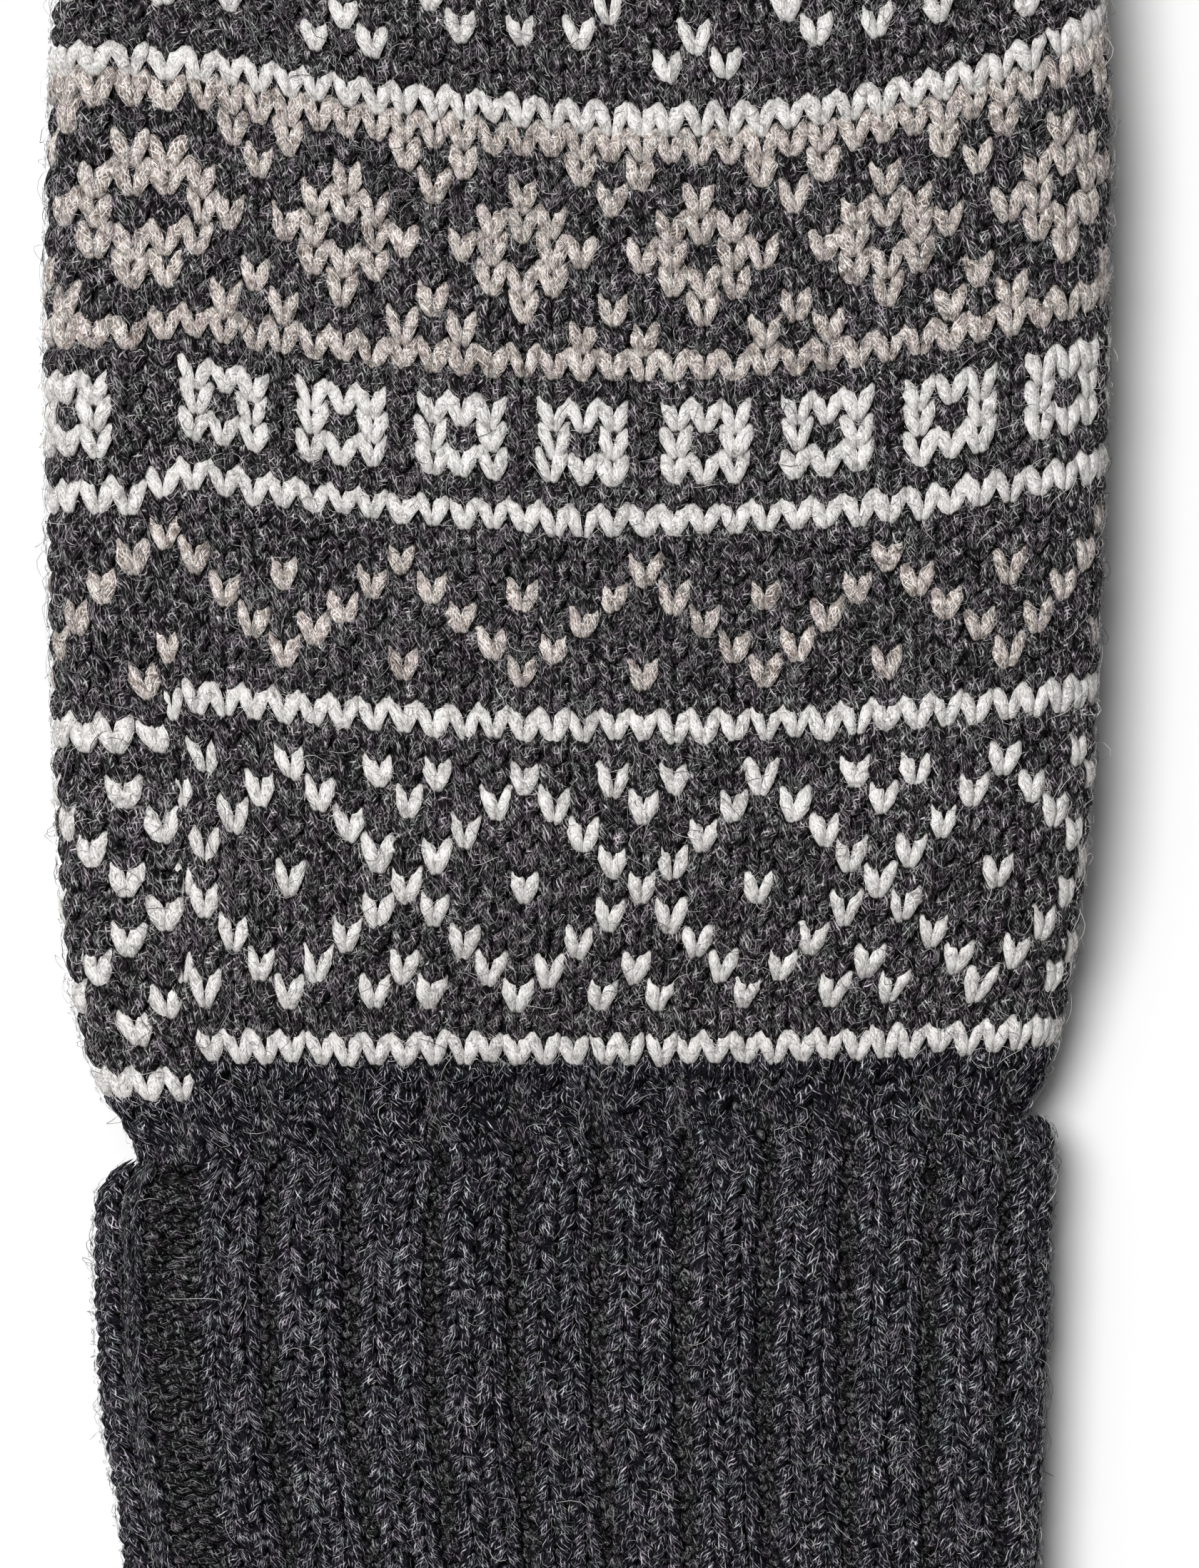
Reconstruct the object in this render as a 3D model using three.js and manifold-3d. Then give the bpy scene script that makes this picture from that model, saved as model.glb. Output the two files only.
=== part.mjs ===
// A knitted mitten lying palm down, back up, with its thumb folded flat under the palm.
// Millimetres, +Z up. +Y points to the fingertips and +X to the thumb side.
// The origin is on the surface that the mitten lies on, under the middle of its outline.

import * as THREE from 'three';
import { mergeVertices } from 'three/addons/utils/BufferGeometryUtils.js';
import Module from 'manifold-3d';

// Driving dimensions
const HAND_WALL = 2.6; // two-colour stranded knitting, two yarns thick
const THUMB_WALL = 2.4; // plain knitting in the same yarn
const RIB_WALL = 2.9; // the turned-up layer of ribbing
const GAP = 0.3; // clearance between one piece and the next
const TURN_UP_GAP = 0.4; // between the ribbed wrist and the layer turned up over it

const HAND_THICKNESS = 14.5; // back to palm at the middle of the hand, lying slack
const WRIST_THICKNESS = 11; // back to palm of the ribbed wrist, inside the turned-up layer
const CROWN = 1.2; // how far the back of the hand domes between its side folds

const TIP_Y = 114.4; // fingertips
const TIP_START_Y = 66; // where the rounding of the fingertips begins
const BODY_START_Y = -36; // where the flare above the wrist ends
const HAND_EDGE_Y = -58.5; // first jacquard rows, hidden inside the turned-up layer
const FOLD_Y = -114.4; // fold at the bottom of the wrist, where the ribbing turns up

const THUMB_X = 18; // middle line of the thumb
const THUMB_HALF_WIDTH = 18;
const THUMB_END_Y = 58; // thumb tip
const CROTCH_Y = 5; // finger-side edge of the thumb's opening
const CROTCH_RADIUS = 0.8; // bend of the thumb wall where it folds against the palm
const THUMB_BASE_LENGTH = 25; // length of the thumb's opening along the palm
const PALM_LIFT = 10.5; // height of the palm where it lies on the thumb

// The knitted tube from the wrist's fold to the fingers: distance of each side fold from the
// middle line, as seen from the back.
const OUTLINE = [
  { y: -114.4, left: 40.7, right: 40.9 },
  { y: -96.3, left: 41.2, right: 42.0 },
  { y: -87.2, left: 42.3, right: 42.4 },
  { y: -79.7, left: 43.3, right: 42.8 },
  { y: -56.0, left: 43.6, right: 43.5 },
  { y: -51.5, left: 45.6, right: 43.9 },
  { y: -47.3, left: 47.6, right: 46.3 },
  { y: -40.3, left: 49.7, right: 48.6 },
  { y: -26.3, left: 51.1, right: 50.2 },
  { y: -3.1, left: 51.9, right: 51.6 },
  { y: 22.9, left: 52.5, right: 52.4 },
  { y: 46.1, left: 52.1, right: 52.6 },
  { y: 66.0, left: 51.4, right: 51.8 },
];

// The thumb beyond its bend: distance from the bend, half width and thickness.
const THUMB_OUTLINE = [
  { y: 0, half: 18.0, thick: 9.4 },
  { y: 28, half: 17.6, thick: 9.4 },
  { y: 40, half: 15.4, thick: 9.2 },
  { y: 47, half: 11.4, thick: 8.4 },
  { y: 51, half: 6.2, thick: 6.4 },
];

const { clamp, lerp, smoothstep } = THREE.MathUtils;

// A column of a table at y, along a cubic through its rows that is level at both ends and
// wherever the column stops rising or falling.
function tableAt(table, column, y) {
  const last = table.length - 1;
  const rise = (i) => (table[i + 1][column] - table[i][column]) / (table[i + 1].y - table[i].y);
  const slope = (i) => {
    if (i === 0 || i === last || rise(i - 1) * rise(i) <= 0) return 0;
    return (rise(i - 1) + rise(i)) / 2;
  };
  const place = clamp(y, table[0].y, table[last].y);
  const i = Math.min(table.findLastIndex((row) => row.y <= place), last - 1);
  const step = table[i + 1].y - table[i].y;
  const t = (place - table[i].y) / step;
  const eased = lerp(table[i][column], table[i + 1][column], t * t * (3 - 2 * t));
  return eased + t * (1 - t) * step * ((1 - t) * slope(i) - t * slope(i + 1));
}

// Points along a closed section that lies flat: a bottom run, the right-hand fold, a crowned
// top run and the left-hand fold, anticlockwise, as pairs of x and height.
const RUN_STEPS = 12;
const FOLD_STEPS = 8;
function sectionRing({ left, right, thick, crown = 0 }, inset = 0) {
  const radius = thick / 2 - inset;
  const leftEnd = thick / 2 - left;
  const rightEnd = right - thick / 2;
  const ring = [];
  for (let i = 0; i < RUN_STEPS; i += 1) {
    ring.push([lerp(leftEnd, rightEnd, i / RUN_STEPS), inset]);
  }
  for (let i = 0; i < FOLD_STEPS; i += 1) {
    const angle = Math.PI * (i / FOLD_STEPS - 0.5);
    ring.push([rightEnd + radius * Math.cos(angle), thick / 2 + radius * Math.sin(angle)]);
  }
  for (let i = 0; i < RUN_STEPS; i += 1) {
    const t = i / RUN_STEPS;
    ring.push([lerp(rightEnd, leftEnd, t), thick - inset + 4 * crown * t * (1 - t)]);
  }
  for (let i = 0; i < FOLD_STEPS; i += 1) {
    const angle = Math.PI * (i / FOLD_STEPS + 0.5);
    ring.push([leftEnd + radius * Math.cos(angle), thick / 2 + radius * Math.sin(angle)]);
  }
  return ring;
}

// A closed surface through rings of equal length. Its ends close on a point each, or, without
// end points, the last ring joins the first.
function loft(rings, ends = null) {
  const count = rings[0].length;
  const positions = rings.flat();
  const faces = [];
  const index = (ring, point) => (ring % rings.length) * count + (point % count);
  const spans = ends ? rings.length - 1 : rings.length;
  for (let ring = 0; ring < spans; ring += 1) {
    for (let point = 0; point < count; point += 1) {
      const corners = [index(ring, point), index(ring, point + 1)];
      corners.push(index(ring + 1, point + 1), index(ring + 1, point));
      faces.push(corners[0], corners[2], corners[1], corners[0], corners[3], corners[2]);
    }
  }
  if (ends) {
    const first = positions.push(ends[0]) - 1;
    const last = positions.push(ends[1]) - 1;
    for (let point = 0; point < count; point += 1) {
      faces.push(first, index(0, point), index(0, point + 1));
      faces.push(last, index(rings.length - 1, point + 1), index(rings.length - 1, point));
    }
  }
  const geometry = new THREE.BufferGeometry();
  geometry.setAttribute('position', new THREE.Float32BufferAttribute(positions.flat(), 3));
  geometry.setIndex(faces);
  geometry.computeVertexNormals();
  return geometry;
}

// How far the fingertips are rounded at y: 1 before the rounding, 0 at the very tip.
function tipRounding(y) {
  const t = clamp((y - TIP_START_Y) / (TIP_Y - TIP_START_Y), 0, 1);
  return Math.sqrt(1 - t * t);
}

// Height of the tube above the surface: on the turned-up layer at the wrist, on the surface
// above it, on the thumb over the palm, and a little raised at the rounded fingertips.
const TURN_UP = TURN_UP_GAP + RIB_WALL;
const WRIST_CLEAR = { from: -51.5, to: -36 };
const LIFT_ACROSS = { from: -50, to: -1, droopFrom: 37, droopTo: 53, droop: 0.35 };
const LIFT_ALONG = { from: -51.5, full: -21, fullTo: 58, to: 108 };
function tubeHeight(x, y) {
  const wrist = TURN_UP * (1 - smoothstep(y, WRIST_CLEAR.from, WRIST_CLEAR.to));
  const droop = 1 - LIFT_ACROSS.droop * smoothstep(x, LIFT_ACROSS.droopFrom, LIFT_ACROSS.droopTo);
  const across = smoothstep(x, LIFT_ACROSS.from, LIFT_ACROSS.to) * droop;
  const up = smoothstep(y, LIFT_ALONG.from, LIFT_ALONG.full);
  const down = 1 - smoothstep(y, LIFT_ALONG.fullTo, LIFT_ALONG.to);
  return wrist + PALM_LIFT * across * up * down;
}

// The knitted tube's section at y, grown outwards by outset or taken inwards by a negative one.
const TIP_THINNING = 0.4;
const TIP_RISE = 0.35;
function tubeRing(y, outset, yShift = () => 0) {
  const rounding = tipRounding(y);
  const flare = smoothstep(y, WRIST_CLEAR.from, WRIST_CLEAR.to);
  const thick = lerp(WRIST_THICKNESS, HAND_THICKNESS, flare) * rounding ** TIP_THINNING;
  const rise = y > TIP_START_Y ? TIP_RISE * (HAND_THICKNESS - thick) : 0;
  const section = {
    left: tableAt(OUTLINE, 'left', y) * rounding,
    right: tableAt(OUTLINE, 'right', y) * rounding,
    thick,
    crown: CROWN * rounding,
  };
  const tipInset = outset * smoothstep(y, TIP_START_Y, TIP_Y);
  return sectionRing(section, -outset).map(([x, height]) => [
    x,
    y + tipInset + yShift(x),
    height + rise + tubeHeight(x, y),
  ]);
}

// Hand: a hollow jacquard shell, open at the wrist and at the thumb
const NECK_STEPS = 6;
const BODY_STEPS = 15;
const TIP_STEPS = 9;
const LAST_TIP_STEP = 0.97; // the last ring, short of the closing point
function handStations() {
  const stations = [];
  for (let i = 0; i < NECK_STEPS; i += 1) {
    stations.push(lerp(HAND_EDGE_Y, BODY_START_Y, i / NECK_STEPS));
  }
  for (let i = 0; i < BODY_STEPS; i += 1) {
    stations.push(lerp(BODY_START_Y, TIP_START_Y, i / BODY_STEPS));
  }
  for (let i = 0; i <= TIP_STEPS; i += 1) {
    const angle = (Math.PI / 2) * LAST_TIP_STEP * (i / TIP_STEPS);
    stations.push(lerp(TIP_START_Y, TIP_Y, Math.sin(angle)));
  }
  return stations;
}

function shellAlong(stations, ringAt, wall, tip, tipInside) {
  const outside = stations.map((y) => ringAt(y, 0));
  const inside = stations.map((y) => ringAt(y, -wall)).reverse();
  return loft([...inside, ...outside], [tipInside, tip]);
}

const wasm = await Module();
wasm.setup();

function toSolid(geometry) {
  const bare = geometry.clone();
  bare.deleteAttribute('normal');
  bare.deleteAttribute('uv');
  const merged = mergeVertices(bare, 1e-4);
  const vertProperties = new Float32Array(merged.attributes.position.array);
  const triVerts = new Uint32Array(merged.index.array);
  return new wasm.Manifold(new wasm.Mesh({ numProp: 3, vertProperties, triVerts }));
}

function toGeometry(solid) {
  const mesh = solid.getMesh();
  const geometry = new THREE.BufferGeometry();
  geometry.setAttribute('position', new THREE.Float32BufferAttribute(mesh.vertProperties, 3));
  geometry.setIndex([...mesh.triVerts]);
  geometry.computeVertexNormals();
  return geometry;
}

// The plug that opens the palm for the thumb: the thumb's own inner section, stood upright.
const PLUG_BOTTOM = 5;
const PLUG_HEIGHT = 11;
function thumbOpeningPlug() {
  const half = THUMB_HALF_WIDTH - THUMB_WALL;
  const radius = THUMB_BASE_LENGTH / 2 - THUMB_WALL;
  const middle = CROTCH_Y - THUMB_BASE_LENGTH / 2;
  const outline = new THREE.Shape();
  outline.absarc(THUMB_X + half - radius, middle, radius, -Math.PI / 2, Math.PI / 2);
  outline.absarc(THUMB_X - half + radius, middle, radius, Math.PI / 2, Math.PI * 1.5);
  const settings = { depth: PLUG_HEIGHT, bevelEnabled: false, curveSegments: FOLD_STEPS };
  return new THREE.ExtrudeGeometry(outline, settings).translate(0, 0, PLUG_BOTTOM);
}

function makeHand() {
  const middle = (y) => HAND_THICKNESS * TIP_RISE + tubeHeight(0, y);
  const tip = [0, TIP_Y, middle(TIP_Y)];
  const tipInside = [0, TIP_Y - HAND_WALL, middle(TIP_Y)];
  const shell = shellAlong(handStations(), tubeRing, HAND_WALL, tip, tipInside);
  return toGeometry(toSolid(shell).subtract(toSolid(thumbOpeningPlug())));
}

// Thumb: a hollow plain shell. It leaves the palm downwards, bends flat at the crotch and runs
// towards the fingertips between the palm and the surface. Its own origin is the bend's centre.
const BEND_Z = PALM_LIFT - GAP;
const BEND_Y = CROTCH_Y + CROTCH_RADIUS;
const BEND_STEPS = 8;
const BEND_BLEND = 4; // how tightly the base narrows where it meets the surface
const STRAIGHT_STEPS = 9;
function thumbStations() {
  const stations = [];
  for (let i = 0; i < BEND_STEPS; i += 1) {
    stations.push({ turn: (Math.PI / 2) * (i / BEND_STEPS), along: 0 });
  }
  const length = THUMB_OUTLINE.at(-1).y;
  for (let i = 0; i <= STRAIGHT_STEPS; i += 1) {
    stations.push({ turn: Math.PI / 2, along: length * Math.sin((Math.PI / 2) * (i / STRAIGHT_STEPS)) });
  }
  return stations;
}

function thumbRing({ turn, along }, outset) {
  const straight = tableAt(THUMB_OUTLINE, 'thick', along);
  const toSurface = BEND_Z / Math.max(Math.sin(turn), 1e-3) - CROTCH_RADIUS;
  const bent = (THUMB_BASE_LENGTH ** -BEND_BLEND + toSurface ** -BEND_BLEND) ** (-1 / BEND_BLEND);
  const half = tableAt(THUMB_OUTLINE, 'half', along);
  const thick = turn < Math.PI / 2 ? bent : straight;
  const drop = (THUMB_OUTLINE[0].thick - thick) * (1 - TIP_RISE);
  const depth = CROTCH_RADIUS + (turn < Math.PI / 2 ? 0 : drop);
  const tipInset = outset * smoothstep(along, THUMB_OUTLINE[1].y, THUMB_OUTLINE.at(-1).y);
  return sectionRing({ left: half, right: half, thick }, -outset).map(([x, height]) => {
    const reach = depth + thick - height;
    return [x, along + tipInset - reach * Math.cos(turn), -reach * Math.sin(turn)];
  });
}

function makeThumb() {
  const end = THUMB_OUTLINE.at(-1);
  const height = end.thick / 2 + (THUMB_OUTLINE[0].thick - end.thick) * TIP_RISE - BEND_Z;
  const length = THUMB_END_Y - BEND_Y;
  const tip = [0, length, height];
  const tipInside = [0, length - THUMB_WALL, height];
  return shellAlong(thumbStations(), thumbRing, THUMB_WALL, tip, tipInside);
}

// Ribbed cuff: the wrist's wall down to the fold and the same knitting turned up outside it,
// one U-shaped wall carried round the tube, with a narrow slit between its two layers.
const CUFF_TOP_Y = -53.3; // edge of the turned-up layer at the middle
const CUFF_SLANT = 2.2; // how much higher that edge is at the thumb side than at the middle
const CUFF_BOW = 1.2; // how far both its ends fall below the slanting line
const CUFF_HALF_WIDTH = 46.9;
const WRIST_TOP_Y = HAND_EDGE_Y - GAP;
const SLIT_END_Y = FOLD_Y + 5;
const CUFF_PROFILE = [
  { y: WRIST_TOP_Y, outset: -RIB_WALL + GAP },
  { y: -72, outset: -RIB_WALL + GAP },
  { y: -86, outset: -RIB_WALL + GAP },
  { y: -100, outset: -RIB_WALL + GAP },
  { y: FOLD_Y + 3.4, outset: -RIB_WALL + GAP },
  { y: FOLD_Y + 0.9, outset: -1.5 },
  { y: FOLD_Y, outset: 0.35 },
  { y: FOLD_Y + 0.9, outset: 2.2 },
  { y: FOLD_Y + 3.4, outset: TURN_UP },
  { y: -100, outset: TURN_UP },
  { y: -86, outset: TURN_UP },
  { y: -72, outset: TURN_UP },
  { y: CUFF_TOP_Y - 1.2, outset: TURN_UP },
  { y: CUFF_TOP_Y, outset: TURN_UP - 0.9 },
  { y: CUFF_TOP_Y, outset: TURN_UP_GAP + 0.6 },
  { y: CUFF_TOP_Y - 0.8, outset: TURN_UP_GAP },
  { y: -72, outset: TURN_UP_GAP },
  { y: -90, outset: TURN_UP_GAP },
  { y: SLIT_END_Y, outset: 0.2 },
  { y: -90, outset: 0 },
  { y: -72, outset: 0 },
  { y: WRIST_TOP_Y, outset: 0 },
];

function makeCuff() {
  const edgeShift = (x) => (CUFF_SLANT * x) / CUFF_HALF_WIDTH - CUFF_BOW * (x / CUFF_HALF_WIDTH) ** 2;
  const rings = CUFF_PROFILE.map(({ y, outset }) => {
    const share = outset > 0 ? smoothstep(y, SLIT_END_Y, CUFF_TOP_Y) : 0;
    return tubeRing(y, outset, (x) => share * edgeShift(x));
  });
  return loft(rings);
}

// Wool finishes
const charcoalWool = new THREE.MeshStandardMaterial({ color: 0x434244, roughness: 0.95, metalness: 0 });
const thumbWool = new THREE.MeshStandardMaterial({ color: 0x47464a, roughness: 0.95, metalness: 0 });
const ribWool = new THREE.MeshStandardMaterial({ color: 0x3d3d42, roughness: 0.95, metalness: 0 });

const hand = new THREE.Mesh(makeHand(), charcoalWool);
hand.name = 'hand';

const thumb = new THREE.Mesh(makeThumb(), thumbWool);
thumb.name = 'thumb';
thumb.position.set(THUMB_X, BEND_Y, BEND_Z);

const cuff = new THREE.Mesh(makeCuff(), ribWool);
cuff.name = 'rib_cuff';

const mitten = new THREE.Group();
mitten.add(hand, thumb, cuff);

export default mitten;
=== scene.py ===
"""A hand-knitted jacquard mitten, lying on its palm with its thumb folded under it.

Lengths in the sections below are millimetres in the mitten's own frame: +Y to the fingertips,
+X to the thumb side, +Z up through the back of the hand. A mesh is made in metres.
"""

import math

import bpy
import numpy as np
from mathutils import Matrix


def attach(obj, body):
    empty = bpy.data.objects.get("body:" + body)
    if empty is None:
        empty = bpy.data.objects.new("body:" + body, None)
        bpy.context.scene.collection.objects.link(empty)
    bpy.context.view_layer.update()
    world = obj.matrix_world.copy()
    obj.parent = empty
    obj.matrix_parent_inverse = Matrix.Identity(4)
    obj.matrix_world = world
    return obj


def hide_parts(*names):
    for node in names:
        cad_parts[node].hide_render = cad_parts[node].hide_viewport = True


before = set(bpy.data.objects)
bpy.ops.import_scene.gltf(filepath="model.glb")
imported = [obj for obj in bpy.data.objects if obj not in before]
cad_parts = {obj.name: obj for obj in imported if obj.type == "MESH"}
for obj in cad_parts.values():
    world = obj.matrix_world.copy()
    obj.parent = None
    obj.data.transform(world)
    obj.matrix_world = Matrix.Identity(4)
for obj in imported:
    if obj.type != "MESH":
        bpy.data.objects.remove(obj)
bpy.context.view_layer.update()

# Hand shell
# Hand and wrist are one tube of knitting, lying slack: two flat layers joined by a round fold at
# each side, lifted by the thumb under the palm and rounded off at the fingertips. Its shell is the
# fabric behind the stitches, a dark melange darkened further as painted shade, a wall as far as
# the inside of the hand, open at the wrist.

MM = 0.001
HAND_THICKNESS = 14.5
WRIST_THICKNESS = 11.0
CROWN = 1.2  # how much higher the middle of the back lies than its sides
TIP_Y = 114.4
TIP_START_Y = 66.0
TIP_WAY_END = 0.9995  # just short of the end, where the outline would have no width left
TIP_THINNING = 0.4  # the power of its rounding by which the tip grows thin
TIP_RISE = 0.35  # of the thickness that the tip loses, the share lost underneath
TURN_UP = 3.3  # the turned-up layer of ribbing and its clearance, under and over the wrist
WRIST_CLEAR = (-51.5, -36.0)  # where the hand comes down from the turned-up layer
THUMB_LIFT = 10.5  # how far the folded thumb lifts the palm
LIFT_RISE_X = (-50.0, -1.0)
LIFT_FALL_X = (37.0, 53.0)
LIFT_FALL = 0.35  # the share of the lift that is lost at the thumb side's fold
LIFT_RISE_Y = (-51.5, -21.0)
LIFT_END_Y = (58.0, 108.0)

OUTLINE = [
    {"y": -114.4, "left": 40.7, "right": 42.2},
    {"y": -96.3, "left": 41.3, "right": 42.9},
    {"y": -87.2, "left": 42.6, "right": 43.2},
    {"y": -79.7, "left": 43.7, "right": 43.5},
    {"y": -68.0, "left": 44.2, "right": 44.0},
    {"y": -59.5, "left": 44.0, "right": 44.2},
    {"y": -56.0, "left": 43.2, "right": 44.4},
    {"y": -51.5, "left": 46.1, "right": 45.0},
    {"y": -47.3, "left": 47.6, "right": 46.9},
    {"y": -40.3, "left": 49.7, "right": 48.6},
    {"y": -26.3, "left": 51.1, "right": 50.2},
    {"y": -3.1, "left": 51.9, "right": 51.6},
    {"y": 22.9, "left": 52.5, "right": 52.4},
    {"y": 46.1, "left": 52.1, "right": 52.6},
    {"y": 66.0, "left": 51.4, "right": 51.8},
]


def ease(x, start, end):
    """0 up to start, 1 from end, and a cubic with level ends between them."""
    t = np.clip((x - start) / (end - start), 0.0, 1.0)
    return t * t * (3.0 - 2.0 * t)


def table_at(rows, key, column, at):
    """A table's column at any value of its key: a cubic through the rows that is level at both
    ends and wherever the column stops rising or falling."""
    keys = np.array([row[key] for row in rows], float)
    values = np.array([row[column] for row in rows], float)
    rise = np.diff(values) / np.diff(keys)
    slope = np.zeros(len(keys))
    slope[1:-1] = np.where(rise[:-1] * rise[1:] > 0, (rise[:-1] + rise[1:]) / 2, 0.0)
    i = np.clip(np.searchsorted(keys, at, side="right") - 1, 0, len(keys) - 2)
    step = keys[i + 1] - keys[i]
    t = np.clip((at - keys[i]) / step, 0.0, 1.0)
    eased = values[i] + (values[i + 1] - values[i]) * t * t * (3.0 - 2.0 * t)
    return eased + t * (1.0 - t) * step * ((1.0 - t) * slope[i] - t * slope[i + 1])


def section_at(y):
    """Half widths, thickness and rounding of the tube at y. The fingertips' outline is half an
    ellipse, so everything there shrinks with the root of one minus the square of the way in."""
    way = np.clip((y - TIP_START_Y) / (TIP_Y - TIP_START_Y), 0.0, TIP_WAY_END)
    rounding = np.sqrt(1.0 - way * way)
    thick = WRIST_THICKNESS + (HAND_THICKNESS - WRIST_THICKNESS) * ease(y, *WRIST_CLEAR)
    thick = thick * rounding**TIP_THINNING
    left = table_at(OUTLINE, "y", "left", y) * rounding
    right = table_at(OUTLINE, "y", "right", y) * rounding
    return left, right, thick, rounding


def tube_height(x, y):
    """Height under the tube: the turned-up layer at the wrist, and the folded thumb under the
    palm, as products of eased steps across and along."""
    wrist = TURN_UP * (1.0 - ease(y, *WRIST_CLEAR))
    across = ease(x, *LIFT_RISE_X) * (1.0 - LIFT_FALL * ease(x, *LIFT_FALL_X))
    along = ease(y, *LIFT_RISE_Y) * (1.0 - ease(y, *LIFT_END_Y))
    return wrist + THUMB_LIFT * across * along


LEAST_REACH = 0.02  # of a fold's inside, which never turns over


def oval_point(arc, left, right, thick, out, ref=0.0):
    """A point of a flat oval, out from its outline. arc runs along the top from its left end,
    down the right fold, back along the bottom and up the left fold, and is measured ref out."""
    radius = thick / 2
    run = left + right - thick
    fold = math.pi * (radius + ref)
    arc = np.mod(arc, 2.0 * (run + fold))
    reach = np.maximum(radius + out, LEAST_REACH)
    turn_right = np.clip((arc - run) / (radius + ref), 0.0, math.pi)
    turn_left = np.clip((arc - 2.0 * run - fold) / (radius + ref), 0.0, math.pi)
    on_top = arc < run
    on_palm = arc > run + fold
    x_right = right - radius + reach * np.sin(turn_right)
    x_back = right - radius - (arc - run - fold)
    x_left = radius - left - reach * np.sin(turn_left)
    rising = arc > 2.0 * run + fold
    x = np.where(on_top, radius - left + arc, np.where(rising, x_left, np.where(on_palm, x_back, x_right)))
    h = np.where(rising, radius - reach * np.cos(turn_left), radius + reach * np.cos(turn_right))
    return x, h, on_top


def oval_length(left, right, thick, ref=0.0):
    """The way round a flat oval: its two runs and its two half-round folds."""
    return 2.0 * (left + right - thick) + 2.0 * math.pi * (thick / 2 + ref)


def tube_point(arc, y, out, ref=0.0):
    """A point of the knitted tube: the flat oval at y, crowned on top, then lifted."""
    left, right, thick, rounding = section_at(y)
    x, h, on_top = oval_point(arc, left, right, thick, out, ref)
    across = np.clip((x + left - thick / 2) / np.maximum(left + right - thick, 0.1), 0.0, 1.0)
    crown = np.where(on_top, 4.0 * CROWN * rounding * across * (1.0 - across), 0.0)
    rise = np.where(y > TIP_START_Y, TIP_RISE * (HAND_THICKNESS - thick), 0.0)
    return np.stack([x, y, h + crown + rise + tube_height(x, y)], axis=-1)


def make_piece(name, points, faces, uv=None, shade=None):
    """A smooth mesh from points in mm and rows of face corners, all of one length or in a list
    of such arrays, with an optional thread UV a corner and a shade a point."""
    groups = faces if isinstance(faces, list) else [faces]
    mesh = bpy.data.meshes.new(name)
    sizes = np.concatenate([np.full(len(group), group.shape[1]) for group in groups])
    corners = np.concatenate([group.ravel() for group in groups])
    mesh.vertices.add(len(points))
    mesh.vertices.foreach_set("co", np.ascontiguousarray(points * MM, dtype=np.float32).ravel())
    mesh.loops.add(len(corners))
    mesh.loops.foreach_set("vertex_index", corners.astype(np.int32))
    mesh.polygons.add(len(sizes))
    starts = np.concatenate([[0], np.cumsum(sizes)[:-1]])
    mesh.polygons.foreach_set("loop_start", starts.astype(np.int32))
    mesh.polygons.foreach_set("use_smooth", np.ones(len(sizes), bool))
    mesh.update(calc_edges=True)
    if uv is not None:
        layer = mesh.uv_layers.new(name="thread")
        layer.data.foreach_set("uv", uv.astype(np.float32).ravel())
    if shade is not None:
        layer = mesh.attributes.new("shade", "FLOAT", "POINT")
        layer.data.foreach_set("value", shade.astype(np.float32))
    mesh.validate()
    piece = bpy.data.objects.new(name, mesh)
    bpy.context.collection.objects.link(piece)
    return piece


def loft(rings):
    """Quads between successive closed rings of points, (rings, points, 3)."""
    count, around = rings.shape[:2]
    ring, point = np.meshgrid(np.arange(count - 1), np.arange(around), indexing="ij")
    here = ring * around + point
    beside = ring * around + (point + 1) % around
    return np.stack([here, beside, beside + around, here + around], -1).reshape(-1, 4)


def shell(name, outer, inner):
    """A closed wall between an outer and an inner stack of rings, both from the mouth to the
    closed end: inner rings in reverse, outer rings, and a point at each closed end."""
    rings = np.concatenate([inner[::-1], outer])
    around = rings.shape[1]
    quads = loft(rings)
    points = rings.reshape(-1, 3)
    start, end = len(points), len(points) + 1
    points = np.concatenate([points, [inner[-1].mean(0), outer[-1].mean(0)]])
    point = np.arange(around)
    after = (point + 1) % around
    last = (len(rings) - 1) * around
    start_fan = np.stack([np.full(around, start), after, point], -1)
    end_fan = np.stack([np.full(around, end), last + point, last + after], -1)
    uv = np.stack([points[:, 1], points[:, 0]], -1)
    corners = np.concatenate([quads.ravel(), start_fan.ravel(), end_fan.ravel()])
    return make_piece(name, points, [quads, np.concatenate([start_fan, end_fan])], uv[corners])


# All the yarns are wool, loosely spun. Every thread shows as streaks of fibres along it, with
# some lying across: a melange is dark with scattered pale ones, the others vary only a little.


def linear(code):
    """An sRGB hex colour as linear RGBA: the standard curve on each channel."""
    channels = [int(code[i : i + 2], 16) / 255 for i in (1, 3, 5)]
    return [c / 12.92 if c <= 0.04045 else ((c + 0.055) / 1.055) ** 2.4 for c in channels] + [1.0]


def add_node(tree, kind, inputs=None, **settings):
    """A node of a kind, with its settings, and its inputs set to values or linked to sockets."""
    node = tree.nodes.new(kind)
    for name, value in settings.items():
        setattr(node, name, value)
    for name, value in (inputs or {}).items():
        if isinstance(value, bpy.types.NodeSocket):
            tree.links.new(value, node.inputs[name])
        else:
            node.inputs[name].default_value = value
    return node


def calculate(tree, operation, *values):
    """What a math node makes of values or sockets."""
    return add_node(tree, "ShaderNodeMath", dict(enumerate(values)), operation=operation).outputs[0]


def noise(tree, place, scale, detail):
    """A noise from 0 to 1, mostly near a half, with scale of its waves to a unit of place."""
    look = {"Vector": place, "Scale": scale, "Detail": detail}
    return add_node(tree, "ShaderNodeTexNoise", look).outputs["Fac"]


def between(tree, value, start, end, low=0.0, high=1.0):
    """low where a value is up to start, high from end, and in a straight line between them."""
    limits = {"Value": value, "From Min": start, "From Max": end, "To Min": low, "To Max": high}
    return add_node(tree, "ShaderNodeMapRange", limits).outputs["Result"]


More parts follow.
